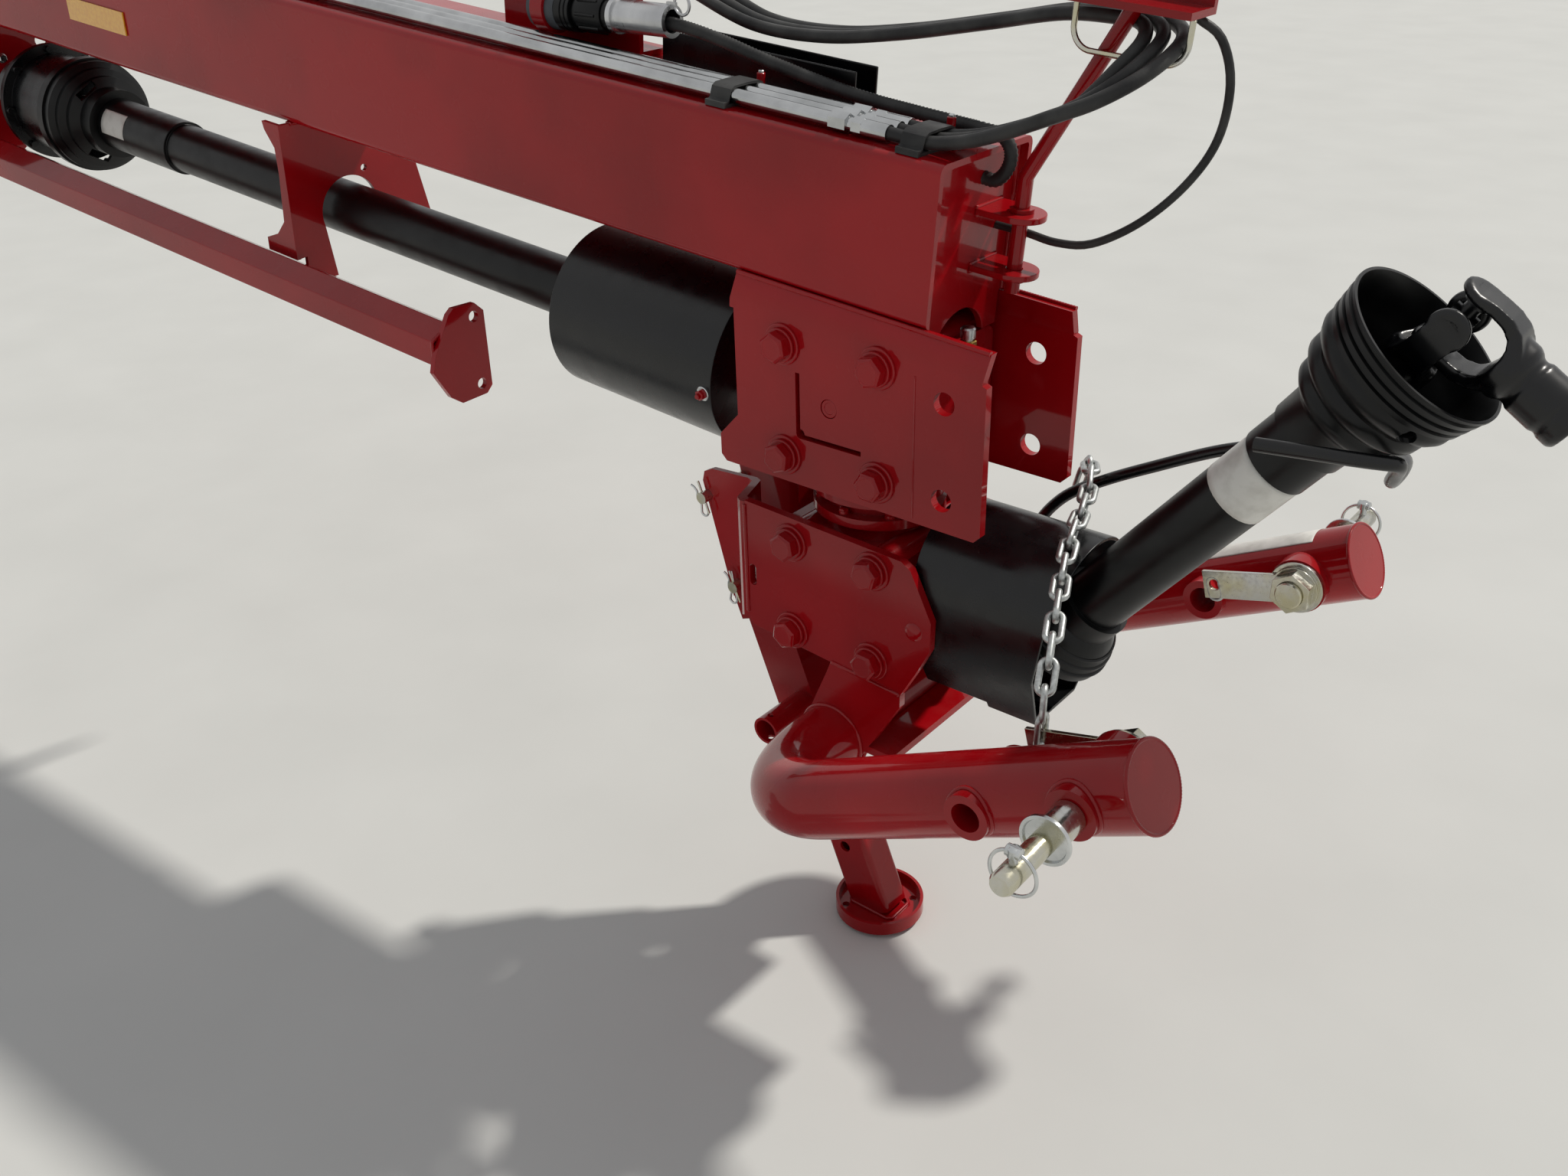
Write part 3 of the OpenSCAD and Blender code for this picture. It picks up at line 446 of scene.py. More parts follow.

# %% [markdown]
# Each new piece ends the same way: its faces are made to look out, edges sharper than a given
# angle stay crisp, and it gets its finish. Then it is told which body of the machine it rides
# on, and which imported solids it stands for, if any.

# %% Finishing a piece
def finish_piece(name, shape, finish, body, stands_for=(), sharp=38):
    bmesh.ops.recalc_face_normals(shape, faces=shape.faces)
    mesh = bpy.data.meshes.new(name)
    shape.to_mesh(mesh)
    shape.free()
    mesh.shade_smooth()
    mesh.set_sharp_from_angle(angle=math.radians(sharp))
    mesh.materials.append(finish)
    piece = new_object(name, mesh)
    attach(piece, body)
    if stands_for:
        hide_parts(*stands_for)
    print(name, len(mesh.polygons), "faces on", body)
    return piece


# %% [markdown]
# Three hydraulic hoses run from the pipe ends up through the rod ring of the hose arm and back
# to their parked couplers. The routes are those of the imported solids.

# %% Hoses
HOSE_R, CORD_STEP = 8, 9
HOSE_ENDS = {"hose_right": (86, -760, 86), "hose_middle": (64, -700, 65),
             "hose_left": (42, -640, 46.5)}


def hose_points(w, e, v):
    """w tells which pipe a hose starts from, v how wide it swings and e where it ends."""
    return [(-91.8, 14 - w, 211), (-40, 14 - w, 211), (10, 14 - w, 222), (60, 14 - w, 242),
            (112, 14 - w, 268), (112 + 0.5 * w, 14 - 0.87 * w, 290),
            (112 + 0.87 * w, 14 - 0.5 * w, 315), (112 + v, 14, 336),
            (112 + 0.87 * v, 14 + 0.5 * v, 347), (112 + 0.5 * v, 14 + 0.87 * v, 352),
            (112, 14 + v, 352), (40, 14 + v, 346), (-60, 14 + v, 320), (-180, 14 + w, 290),
            (-300, 16 + w, 268), (-420, 24 + w, 264), (-540, 36 + w, 288),
            (e + 34, 40 + w, 305), (e, 60, 306), (e, 51.5, 306)]


def cord_piece(name, points, radius_mm, node):
    route = [BEAM @ p for p in smooth_route(points, CORD_STEP)]
    curve = bpy.data.curves.new(name, "CURVE")
    curve.dimensions, curve.bevel_depth, curve.bevel_resolution = "3D", radius_mm * MM, 4
    curve.use_fill_caps = True
    line = curve.splines.new("POLY")
    line.points.add(len(route) - 1)
    for spot, p in zip(line.points, route):
        spot.co = (*p, 1)
    line.use_smooth = True
    curve.materials.append(hose_wrap)
    piece = new_object(name, curve)
    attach(piece, "drawbar")
    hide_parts(node)
    print(name, "is", round(length_of(route), 3), "m long")


for name, ends in HOSE_ENDS.items():
    cord_piece(name + "_line", hose_points(*ends), HOSE_R, name)

# %% [markdown]
# The thin electric cable hangs from the head plate of the hose arm in one long bow and goes
# back into the front plate. The harness of the parked plug is a cable in split corrugated
# tubing, so its outside is a row of small ribs 5 mm apart: the ribs are real geometry here.

# %% Electric cable and ribbed harness
CABLE_R, HARNESS_R, RIB_MM, RIB_DEEP = 5, 8.6, 5, 1.1
CABLE_POINTS = [(196, 66, 363.5), (222, 76, 345), (238, 84, 300), (236, 84, 240),
                (212, 76, 186), (170, 66, 136), (118, 60, 100), (72, 60, 90), (30, 60, 92),
                (-13.6, 60, 92)]
HARNESS_POINTS = [(-556, -8, 260.4), (-490, -8, 262), (-430, 2, 254), (-340, 17, 234),
                  (-216, 21, 218), (-120, 22, 214), (-30, 20, 213), (1, 20, 211),
                  (15, 20, 200), (18, 20, 184), (12, 20, 168), (1, 20, 158), (-13.6, 20, 158)]
cord_piece("electric_cable_line", CABLE_POINTS, CABLE_R, "electric_cable")

harness_route = smooth_route(HARNESS_POINTS, RIB_MM / 2)
shape = bmesh.new()
sweep(shape, harness_route, lambda i: HARNESS_R if i % 2 else HARNESS_R - RIB_DEEP, 14, BEAM)
harness = finish_piece("plug_harness_line", shape, hose_wrap, "drawbar",
                       ["plug_harness"], sharp=80)

# %% [markdown]
# The safety chain is welded link chain: each link is one loop of round bar, turned a quarter
# against the last. It hangs from the near lock plate, lies over the shield and ends over the
# bent rod. One link is a swept loop, and the links are set along the route at their pitch.

# %% Safety chain
LINK_PITCH, LINKS, LINK_BEND, LINK_STRAIGHT, WIRE_R = 32.8, 17, 9, 11.7, 4
CHAIN_ROUTE = [(399.8, -236, -24.9), (399.8, -236, 8), (396, -229, 36), (386, -204, 62),
               (370, -168, 84), (352, -128, 98), (334, -88, 108), (318, -50, 119),
               (304, -6, 130), (290, 40, 133), (270, 92, 139), (250, 131, 153.5),
               (226, 164.5, 127), (214, 169.5, 87), (208, 171, 44)]


def spot_along(route, distance):
    for a, b in zip(route, route[1:]):
        a, b = Vector(a), Vector(b)
        if distance <= (b - a).length:
            return a + (b - a) * distance / (b - a).length
        distance -= (b - a).length
    return b


spots = [spot_along(CHAIN_ROUTE, i * LINK_PITCH) for i in range(LINKS + 1)]
shape = bmesh.new()
for i, (a, b) in enumerate(zip(spots, spots[1:])):
    d = b - a
    heading = math.degrees(math.atan2(d.y, d.x)) if d.xy.length > 0.001 else 0
    dive = -math.degrees(math.asin(d.z / d.length))
    link = (HEAD @ at(*(a + b) / 2) @ turned("Z", heading) @ turned("Y", dive)
            @ turned("X", 90 + i % 2 * 90))
    sweep(shape, ring_route(LINK_BEND, 32, LINK_STRAIGHT), WIRE_R, 12, link, True)
finish_piece("safety_chain_links", shape, dipped_zinc, "hitch_head",
             ["safety_chain"], sharp=80)

# %% [markdown]
# The bent rod that carries the parked shaft is 16 mm bar, bent cold, with its hinge pin welded
# on. A smooth swept tube gives the even bends that a facetted solid can't.

# %% Support rod
ROD_R = 7.9
ROD_POINTS = [(175, 132, 40), (196, 132, 72), (223, 134, 100), (270, 137, 131),
              (328, 141, 163), (418, 146, 209), (500, 142, 240), (570, 128, 262),
              (620, 100, 280), (655, 60, 292), (668, 10, 300), (672, -34, 306), (686, -72, 336),
              (690, -92, 350), (680, -104, 354), (650, -108, 352), (552, -110, 343)]
shape = bmesh.new()
sweep(shape, smooth_route(ROD_POINTS, 8), ROD_R, 16, HEAD)
turn(shape, [(101.4, 8), (132, 8), (138, 6)], 24, HEAD @ at(175, 0, 40) @ turned("Z", 90))
finish_piece("support_rod", shape, black_paint, "support", ["shaft_support"],
             sharp=60)

# %% [markdown]
# Weld beads join the plates. A bead is a swept tube half sunk in the corner, whose radius
# swells every 4 mm where the welder moved on. On the drawbar they run along the side plates,
# the hanger, the front plate, the lugs of the hose arm, the coupler bracket and the end of the
# six-sided rail.

# %% Weld beads of the drawbar
BEAD_R, THIN_BEAD_R, BEAD_STEP, BEAD_NECK = 3.6, 2.8, 4, 0.86
BEAM_HALF, WELD_SHARP = 100, 80


def bead(shape, points, place, radius=BEAD_R, closed=False):
    route = []
    for a, b in zip(points, points[1:] + points[:1] if closed else points[1:]):
        a, b = Vector(a), Vector(b)
        count = max(1, round((b - a).length / (BEAD_STEP / 2)))
        route += [a + (b - a) * k / count for k in range(count)]
    if not closed:
        route.append(Vector(points[-1]))
    sweep(shape, route, lambda i: radius * (1.0 if i % 2 else BEAD_NECK), 8, place, closed)


def circle(radius, x, steps, start=0, end=360):
    angles = [math.radians(start + (end - start) * k / steps) for k in range(steps + (end < 360))]
    return [(x, radius * math.cos(a), radius * math.sin(a)) for a in angles]


shape = bmesh.new()
for s in (-1, 1):
    bead(shape, [(-294, s * BEAM_HALF, 0.5), (92, s * BEAM_HALF, 0.5)], BEAM)
    for x in (-1275, -1267):
        bead(shape, [(x, s * 98, -1), (x, s * 20, -1)], BEAM)
bead(shape, [(-13.6, -91.5, 2), (-13.6, -91.5, 184), (-13.6, -86, 189.5),
             (-13.6, 86, 189.5), (-13.6, 91.5, 184), (-13.6, 91.5, 2)], BEAM)
for z in (45, 54.5, 115, 124.5):
    bead(shape, [(-13.6, 7, z), (-13.6, 67, z)], BEAM, THIN_BEAD_R)
bead(shape, [(-856, 23, 199), (-586, 23, 199)], BEAM, THIN_BEAD_R)
bead(shape, circle(40.2, 5.2, 6, 90, 450), HEAD @ at(-740, -135, 185) @ turned("Y", SLOPE),
     3.2, True)
finish_piece("drawbar_welds", shape, red_on_weld, "drawbar", sharp=WELD_SHARP)

# %% [markdown]
# On the hitch, beads go round the yoke tube where it passes the side plates, round the end
# caps of its arms and round its bosses, and along the lower side plates. A bead at a boss lies
# on the curve where two cylinders meet, which is found from the tube's own frame. The leg is
# welded to its foot.

# %% Weld beads of the hitch and the stand
PLATE_OUT, ARM_Y, ARM_END, TUBE_R, TUBE_UNDER_PINS = 113, 307, 72, 51, 258.8
BOSSES = ((0, 31.5), (-142, 29.5))


def mirrored(side):
    """Keeps a right-hand piece in its place for side 1, and mirrors it left for side -1."""
    return Matrix.Diagonal((1, side, 1, 1))


def boss_seam(place, boss_r, steps=60):
    """Where a boss along Y meets the outside of a yoke arm, on the right-hand side."""
    to_yoke = YOKE.inverted() @ place
    seam = []
    for k in range(steps):
        a = 2 * math.pi * k / steps
        p = Vector((boss_r * math.cos(a), 0, boss_r * math.sin(a)))
        height = (to_yoke @ p).z
        depth = math.sqrt(max(TUBE_R ** 2 - height ** 2, 0))
        seam.append((p.x, -ARM_Y - depth, p.z))
    return seam


shape = bmesh.new()
for s in (-1, 1):
    for y in (PLATE_OUT + 1, PLATE_OUT - 13):
        bead(shape, circle(TUBE_R + 0.5, -y, 60, -25, 215),
             HEAD @ at(0, 0, -TUBE_UNDER_PINS) @ mirrored(s) @ turned("Z", 90))
    for x, r in BOSSES:
        place = YOKE @ at(x, 0, 0) @ turned("Y", TILT)
        bead(shape, boss_seam(place, r), place @ mirrored(s), 3.4, True)
    bead(shape, circle(TUBE_R - 1, ARM_END - 1.5, 60), YOKE @ at(0, s * ARM_Y, 0), 2.6, True)
    bead(shape, [(-151, s * PLATE_OUT, -100), (-151, s * PLATE_OUT, 72)], HEAD, 3.2)
    bead(shape, [(0, s * PLATE_OUT, -131), (116, s * PLATE_OUT, -141)], HEAD, 3.2)
finish_piece("hitch_welds", shape, red_on_weld, "hitch_head", sharp=WELD_SHARP)

shape = bmesh.new()
bead(shape, [(-40, -22, 2), (-34, -28, 2), (34, -28, 2), (41, -22, 2), (41, 22, 2), (34, 28, 2),
             (-34, 28, 2), (-40, 22, 2)], HEAD @ at(*LEG_FOOT), 3.4, True)
finish_piece("stand_welds", shape, red_on_weld, "stand", sharp=WELD_SHARP)

# %% [markdown]
# Small hardware is made as in a lathe shop: a hexagon head with a chamfer is a turned profile
# with six sides. Eight screws close the flange of each gearbox neck.

# %% Flange screws
HEX_CHAMFER, HEX_CHAMFER_R = 1.2, 1.6


def hexagon(shape, x, height, across, place):
    r = across / math.sqrt(3)
    turn(shape, [(x, r), (x + height - HEX_CHAMFER, r), (x + height, r - HEX_CHAMFER_R)], 6,
         place)


upright = turned("Y", -90)
for name, body, radius, first, z, height, across in (
        ("upper_flange_screws", "drawbar", 84, 15, 127, 6, 13),
        ("lower_flange_screws", "hitch_head", 82, 0, 94, 5, 12)):
    shape = bmesh.new()
    for k in range(8):
        hexagon(shape, z, height, across,
                HEAD @ turned("Z", first + 45 * k) @ at(radius, 0, 0) @ upright)
    finish_piece(name, shape, red_on_steel, body, sharp=25)

# %% [markdown]
# Eight big bolts hold each gearbox between its side plates. Each is a thick washer, a second
# washer and a chamfered hexagon, with the end of the screw in the middle, and each stands at
# its own angle, as the spanner left it. A small bevel catches the light on every edge.

# %% Plate bolts
BOLT_HEX, BOLT_EDGE_MM = 36, 0.7


def on_plate(x, z, side):
    """A spot on a side plate's outer face, with X pointing out of the plate."""
    return HEAD @ mirrored(side) @ at(x, -PLATE_OUT, z) @ turned("Z", -90)


def big_bolt(shape, spot):
    turn(shape, [(-0.5, 27.8), (2.8, 27.8), (4, 26.6)], 48, spot)
    turn(shape, [(4, 21.5), (4.8, 23), (8, 23), (9, 21.8)], 48, spot)
    r = BOLT_HEX / math.sqrt(3)
    turn(shape, [(9, r), (21.6, r), (24, r - 3.2)], 6, spot)
    turn(shape, [(21, 15.6), (24.2, 15.6), (24.2, 13), (23.2, 12)], 36, spot)


for name, cad, body, out, middle, rise in (
        ("upper_plate_bolts", "upper_gearbox_bolts", "drawbar", 75, 245, 77),
        ("lower_plate_bolts", "lower_gearbox_bolts", "hitch_head", 69, -33, 70)):
    shape = bmesh.new()
    spots = [(sx * out, middle + sz * rise) for sx in (-1, 1) for sz in (-1, 1)]
    for k, (x, z) in enumerate(spots):
        for side in (-1, 1):
            big_bolt(shape, on_plate(x, z, side) @ turned("X", 17 * k + 23 * side))
    bolts = finish_piece(name, shape, red_on_steel, body, [cad], sharp=28)
    bevel_edges(bolts, BOLT_EDGE_MM, 28).harden_normals = True

# %% [markdown]
# Each upper side plate carries a flush plug between its bolts, and a thin weld seam down its
# front part. Each lower one has the small round mound of a plug weld.

# %% Plugs, seams and plug welds of the side plates
plugs, mounds = bmesh.new(), bmesh.new()
for side in (-1, 1):
    turn(plugs, [(-6, 12.4), (-1.2, 12.4), (-0.6, 11.6), (-0.6, 8), (-1.4, 7.4)], 40,
         on_plate(-1, 250, side))
    sweep(plugs, [(0, 0, 0), (0, 0, 190)], 1.1, 8, on_plate(131, 134, side))
    turn(mounds, [(-1, 14), (1.2, 13), (2.6, 8), (3, 2)], 22, on_plate(137, -33, side))
finish_piece("plate_plugs", plugs, red_on_steel, "drawbar", sharp=30)
finish_piece("plate_spot_weld", mounds, red_on_weld, "hitch_head", sharp=60)

# %% [markdown]
# The breather lets the upper gearbox take in air. It screws into a painted seat, and has a
# brass hexagon and a silver cap that keeps the rain out.

# %% Breather
BREATHER = HEAD @ at(132, 0, 0) @ upright
shape = bmesh.new()
turn(shape, [(314, 11.5), (325, 11.5), (326, 10.5)], 40, BREATHER)
finish_piece("breather_seat", shape, red_on_steel, "drawbar", ["breather"])
shape = bmesh.new()
hexagon(shape, 326, 11, 20, BREATHER)
finish_piece("breather_hexagon", shape, turned_brass, "drawbar", sharp=25)
shape = bmesh.new()
turn(shape, [(337, 7), (340, 7), (340, 9.6), (341, 10), (352, 10), (354, 8.2)], 48, BREATHER)
finish_piece("breather_cap", shape, turned_aluminium, "drawbar")

# %% [markdown]
# Spring wire holds the stand's two pins. An R clip is bent from one wire: a straight leg that
# goes through the pin and a wavy leg that grips round it.

# %% Spring clips of the stand
CLIP = [(26, 0, 0), (8, 0, 0), (-20, 0, 0), (-27, 0, 3), (-29, 0, 9), (-24, 0, 14),
        (-17, 0, 12), (-10, 0, 9.5), (-5, 0, 11.5), (0, 0, 12.6), (5, 0, 11.5), (10, 0, 9.5),
        (17, 0, 12), (22, 0, 17)]
CLIP_WIRE_R = 1.8
for name, height, lean_out in (("upper", 730, 0), ("lower", 585, 12)):
    shape = bmesh.new()
    sweep(shape, smooth_route(CLIP, 2), CLIP_WIRE_R, 8,
          LEG @ at(-18, -55, height) @ turned("Y", -90 + lean_out))
    finish_piece(name + "_pin_clip", shape, silver_plate, "hitch_head", sharp=80)

# %% [markdown]
# The link pins carry the drawbar on the tractor's two lower links. Each is turned in one piece:
# a thick part that sits in the arm, a shoulder and a thinner end for the link's ball. A pressed
# silver flange sits on the shoulder, and a linch pin, a stepped pin whose sprung ring snaps
# over the link pin's end, keeps the ball on it.

# %% Link pins, flanges and linch pins
PIN_SHOULDER, LINCH_OUT, LINCH_RING_R, LINCH_WIRE_R = 412.5, 66, 27, 2.1
for side, s in (("right", -1), ("left", 1)):
    pin_line = HEAD @ at(PIN_X, 0, 0) @ turned("Z", s * 90)
    shape = bmesh.new()
    turn(shape, [(210, 16.5), (212, 18.2), (366, 18.2), (366, 19), (367, 19.9), (414, 19.9),
                 (414, 14), (500, 14), (504.4, 11.5)], 64, pin_line)
    finish_piece("link_pin_" + side, shape, zinc_plate, "hitch_head", ["link_pins"],
                 sharp=35)
    shape = bmesh.new()
    turn(shape, [(412.2, 20), (412.2, 29), (413, 29.9), (417, 29.9), (417.5, 29.3),
                 (417.5, 26), (414.6, 24.6), (414.6, 13.9), (414.2, 13.9)], 64, pin_line,
         hollow=True)
    finish_piece("pin_flange_" + side, shape, silver_plate, "hitch_head", sharp=35)
    spot = HEAD @ at(PIN_X, s * (PIN_SHOULDER + LINCH_OUT), 0)
    shape = bmesh.new()
    turn(shape, [(-22, 3.4), (-18, 5), (22, 5), (22, 7.4), (31, 7.4), (33, 5)], 28,
         spot @ upright)
    turn(shape, [(-9, 5), (-8, 6.6), (8, 6.6), (9, 5)], 24, spot @ at(0, 0, 27))
    sweep(shape, ring_route(LINCH_RING_R, 48), LINCH_WIRE_R, 10, spot, True)
    finish_piece("linch_pin_" + side, shape, silver_plate, "hitch_head",
                 ["linch_pins"], sharp=50)

# %% [markdown]
# The far lock plate holds one loose link, a loop of round bar as in the chain, but shorter and
# thinner.

# %% Link in the far lock plate
shape = bmesh.new()
sweep(shape, ring_route(9, 32, 8), 3.2, 10, HEAD @ at(399.8, 236, -35) @ turned("Y", 70), True)
finish_piece("left_plate_link", shape, dipped_zinc, "hitch_head", sharp=80)

# %% [markdown]
# The parked plug is moulded nylon: a grey rear half, a black collar with finger grooves and a
# lip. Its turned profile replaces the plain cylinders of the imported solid.

# %% Parked plug
PLUG_RIBS, GROOVE_STEP = 8, 8
shape = bmesh.new()
turn(shape, [(-92, 20), (-91, 22), (-86.2, 22), (-86, 26), (-84, 28), (-34, 28), (-32, 27)],
     56, PLUG)
finish_piece("plug_rear_half", shape, grey_nylon, "drawbar", sharp=30)
grooves = [(x + dx, r) for x in range(-24, 0, GROOVE_STEP)
           for dx, r in ((0, 28), (5, 28), (6, 26), (7, 26))]
shape = bmesh.new()
turn(shape, [(-32, 26), (-30, 28), *grooves, (0, 28), (0, 24), (50, 25), (54, 23), (54, 21),
             (66, 21)], 56, PLUG)
for k in range(PLUG_RIBS):
    turn(shape, [(9, 1.6), (10, 2.4), (46, 2.4), (47, 1.6)], 8,
         PLUG @ turned("X", 360 / PLUG_RIBS * k) @ at(0, 0, 25))
finish_piece("plug_collar", shape, black_plastic, "drawbar",
             ["parked_plug"], sharp=30)

# %% [markdown]
# The forks of the universal joints are drop forgings: everything flows into everything else in
# wide fillets. A fork starts as rough overlapping shapes, a band bent to a U and a round ear at
# each end. A voxel remesh melts them into one skin and a smooth pass rounds it off, much as the
# dies do.

# %% Forging a fork
VOXEL_MM, EASE, EASE_TIMES = 1.8, 0.5, 6
EAR_GAP, EAR_OUT = 28.5, 40


def fork(shape, place, saddle, ear_r):
    """A fork on the place's X axis: a band bent to a U, with a round ear at each end.

    saddle holds (x, z, half width, half thickness) from one ear to the axis."""
    line = saddle + [(x, -z, wide, thick) for x, z, wide, thick in saddle[-2::-1]]
    spots = [Vector((x, 0, z)) for x, z, _, _ in line]
    rings = []
    for i, (_, _, wide, thick) in enumerate(line):
        way = spots[min(i + 1, len(spots) - 1)] - spots[max(i - 1, 0)]
        out = Vector((way.z, 0, -way.x)).normalized() * thick
        rings.append([shape.verts.new(place @ (spots[i] + out * u + Vector((0, w * wide, 0))))
                      for u, w in ((-1, -1), (-1, 1), (1, 1), (1, -1))])
    join_rings(shape, rings, False)
    for s in (-1, 1):
        turn(shape, [(EAR_GAP, ear_r - 4), (EAR_GAP + 3, ear_r), (EAR_OUT - 2, ear_r),
                     (EAR_OUT, ear_r - 4)], 40, place @ turned("Y", s * 90))


def forged(name, shape, body, stands_for):
    piece = finish_piece(name, shape, black_paint, body, stands_for, sharp=180)
    skin = piece.modifiers.new("one_skin", "REMESH")
    skin.mode, skin.voxel_size, skin.use_smooth_shade = "VOXEL", VOXEL_MM * MM, True
    ease = piece.modifiers.new("die_fillets", "SMOOTH")
    ease.factor, ease.iterations = EASE, EASE_TIMES


print("a fork is", 2 * EAR_OUT, "mm over its ears")

# %% [markdown]
# The fork at the tractor's end goes over into a long hub, with a groove for its lock and a bore
# for a splined shaft. A cross joins it to the next fork: four arms with a bearing cap on each.

# %% Tractor-side fork and its cross
SHAFT_LONG, BENT = 648, 85
TRACTOR_END = SHAFT @ at(SHAFT_LONG, 0, 0) @ turned("Y", BENT)
shape = bmesh.new()
fork(shape, TRACTOR_END, [(0, 35, 20, 5.5), (18, 36, 19, 6), (34, 35.5, 19, 6.5),
                          (48, 31, 21, 7), (57, 23, 25, 8), (62, 12, 29, 9), (64, 0, 31, 10)],
     24)
turn(shape, [(56, 33), (72, 33), (78, 30.5), (82, 27), (88, 27), (91, 29.5), (122, 29.5),
             (125, 27.5), (129, 27.5), (131, 29.5), (144, 29.5), (149, 26), (149, 19),
             (146, 17.6), (70, 17.6), (64, 12)], 56, TRACTOR_END, hollow=True)
forged("tractor_fork", shape, "tractor_end", ["tractor_yoke"])

shape = bmesh.new()
for arm in (TRACTOR_END @ turned("Z", 90), TRACTOR_END @ upright):
    turn(shape, [(-26, 9), (26, 9)], 28, arm)
    for s in (-1, 1):
        turn(shape, [(s * 24, 14), (s * (EAR_OUT - 1), 14), (s * EAR_OUT, 13)][::s], 28, arm)
turn(shape, [(-14, 14), (14, 14)], 28, TRACTOR_END)
finish_piece("tractor_end_cross", shape, black_paint, "tractor_end", sharp=35)

# %% [markdown]
# The shaft's own fork faces it, a quarter turned. The bright inner shaft behind it shows where
# the guard is drawn out.

# %% Shaft-side fork and inner shaft
FRONT_END = SHAFT @ at(SHAFT_LONG, 0, 0) @ turned("Z", 180) @ turned("X", 90)
shape = bmesh.new()
fork(shape, FRONT_END, [(0, 35, 19, 5.5), (18, 36, 18, 6), (32, 35, 18, 6.5),
                        (44, 31, 20, 7), (52, 22, 22, 8), (57, 12, 26, 9), (60, 0, 28, 9)], 22)
turn(shape, [(54, 30), (70, 31), (90, 30), (94, 25), (120, 24)], 40, FRONT_END)
forged("shaft_fork", shape, "shaft_front", ["shaft_yoke"])
shape = bmesh.new()
turn(shape, [(120, 21.6), (560, 21.6)], 40, SHAFT)
finish_piece("inner_shaft", shape, line_steel, "shaft_front")

# %% [markdown]
# The cone over the tractor-side joint is blow-moulded rubbery plastic: a narrow collar, two
# bellows folds and a bell whose lip has four small ribs. It is one thin turned profile, out
# along the outside and back along the inside, with a round finger hole made by a boolean.

# %% Cone guard
HOLE_X, HOLE_R, HOLE_TURN = 561, 9.5, 42
outside = [(400, 44), (446, 44), (448, 47.5), (486, 49), (492, 53), (497, 61), (503, 66.5),
           (510, 67), (515, 64), (518, 65), (523, 73), (529, 78.5), (537, 79), (543, 75.5),
           (547, 77), (553, 85), (560, 89), (567, 89), (570, 86.5), (573, 87), (575, 91.5),
           (580, 92), (582, 89), (584, 89), (586, 93.5), (591, 94), (593, 91), (595, 91),
           (597, 95.5), (602, 96), (604, 93.5), (607, 94), (609, 98), (612, 98)]
inside = [(612, 94.5), (604, 91), (582, 86), (560, 83), (547, 74), (530, 72), (515, 61),
          (503, 59), (492, 50), (484, 45.5), (449, 43.5), (444, 41), (400, 41)]
shape = bmesh.new()
turn(shape, outside + inside, 96, SHAFT, hollow=True)
cone = finish_piece("cone_bellows", shape, black_plastic, "shaft_front",
                    ["cone_guard"], sharp=50)
shape = bmesh.new()
turn(shape, [(60, HOLE_R), (120, HOLE_R)], 28,
     SHAFT @ at(HOLE_X, 0, 0) @ turned("X", HOLE_TURN) @ turned("Z", -90))
hole_mesh = bpy.data.meshes.new("finger_hole")
shape.to_mesh(hole_mesh)
shape.free()
hole = new_object("finger_hole", hole_mesh)
cut = cone.modifiers.new("finger_hole", "BOOLEAN")
cut.operation, cut.solver, cut.object = "DIFFERENCE", "EXACT", hole
bpy.context.view_layer.update()
cut_mesh = bpy.data.meshes.new_from_object(
    cone.evaluated_get(bpy.context.evaluated_depsgraph_get()))
cone.modifiers.clear()
cone.data = cut_mesh
bpy.data.objects.remove(hole)
print("with its finger hole the cone has", len(cut_mesh.polygons), "faces")

# %% [markdown]
# Pipe clamps on the beam are bent straps coated in rubber, on a plate, with a stud: a flat
# foot, a rise over the three pipes and a foot again. The strap's outline is swept along the
# beam as a thin shell.

# %% Pipe clamps
CLAMP_XS, STRAP_WIDE, STRAP_THICK = (-1900, -1300, -360, -70), 32, 3
STRAP_HALF = [(-93, 5.6), (-87, 5.6), (-84, 7), (-82.5, 13), (-80, 20), (-74, 23.4),
              (-50, 24.2), (-27, 23.4), (-20, 20.5), (-15, 13), (-12, 7.4), (-8, 5.6), (5, 5.6)]
outline = ([(y, z + STRAP_THICK / 2) for y, z in STRAP_HALF]
           + [(y, z - STRAP_THICK / 2) for y, z in STRAP_HALF[::-1]])
count = len(outline)
shape = bmesh.new()
for x in CLAMP_XS:
    middle = BEAM @ at(x + 17, 0, BEAM_TOP)
    bmesh.ops.create_cube(shape, size=1, matrix=middle @ at(0, -44, 2)
                          @ Matrix.Diagonal((STRAP_WIDE, 98, 4, 1)))
    loops = [[shape.verts.new(middle @ Vector((s * STRAP_WIDE / 2, y, z))) for y, z in outline]
             for s in (-1, 1)]
    for k in range(count):
        n = (k + 1) % count
        shape.faces.new((loops[0][k], loops[0][n], loops[1][n], loops[1][k]))
    for k in range(count // 2 - 1):
        far = count - 1 - k
        for loop in loops:
            shape.faces.new((loop[k], loop[k + 1], loop[far - 1], loop[far]))
finish_piece("clamp_straps", shape, hose_wrap, "drawbar", ["line_clamps"],
             sharp=40)

# %% [markdown]
# A stud stands up from each clamp plate, beside the strap's rise. It has a silver nut and, near
# its tip, a collar that was painted with the beam.

# %% Studs of the clamps
studs, caps = bmesh.new(), bmesh.new()
for x in CLAMP_XS:
    stud = BEAM @ at(x + 17, -4, BEAM_TOP) @ upright
    turn(studs, [(0, 4), (30, 4), (31, 3)], 20, stud)
    hexagon(studs, 7.5, 7, 13, stud)
    turn(caps, [(15, 5.5), (27, 5.5), (28, 4.4)], 20, stud)
finish_piece("clamp_studs", studs, silver_plate, "drawbar", sharp=30)
finish_piece("stud_caps", caps, red_on_steel, "drawbar", sharp=30)

# %% [markdown]
# Screws close the guards: six in a ring on the rear bulkhead, and one with its washer at the
# lower edge of the bell guard on each side. The rear bell of the shaft guard has three moulded
# ribs round it.

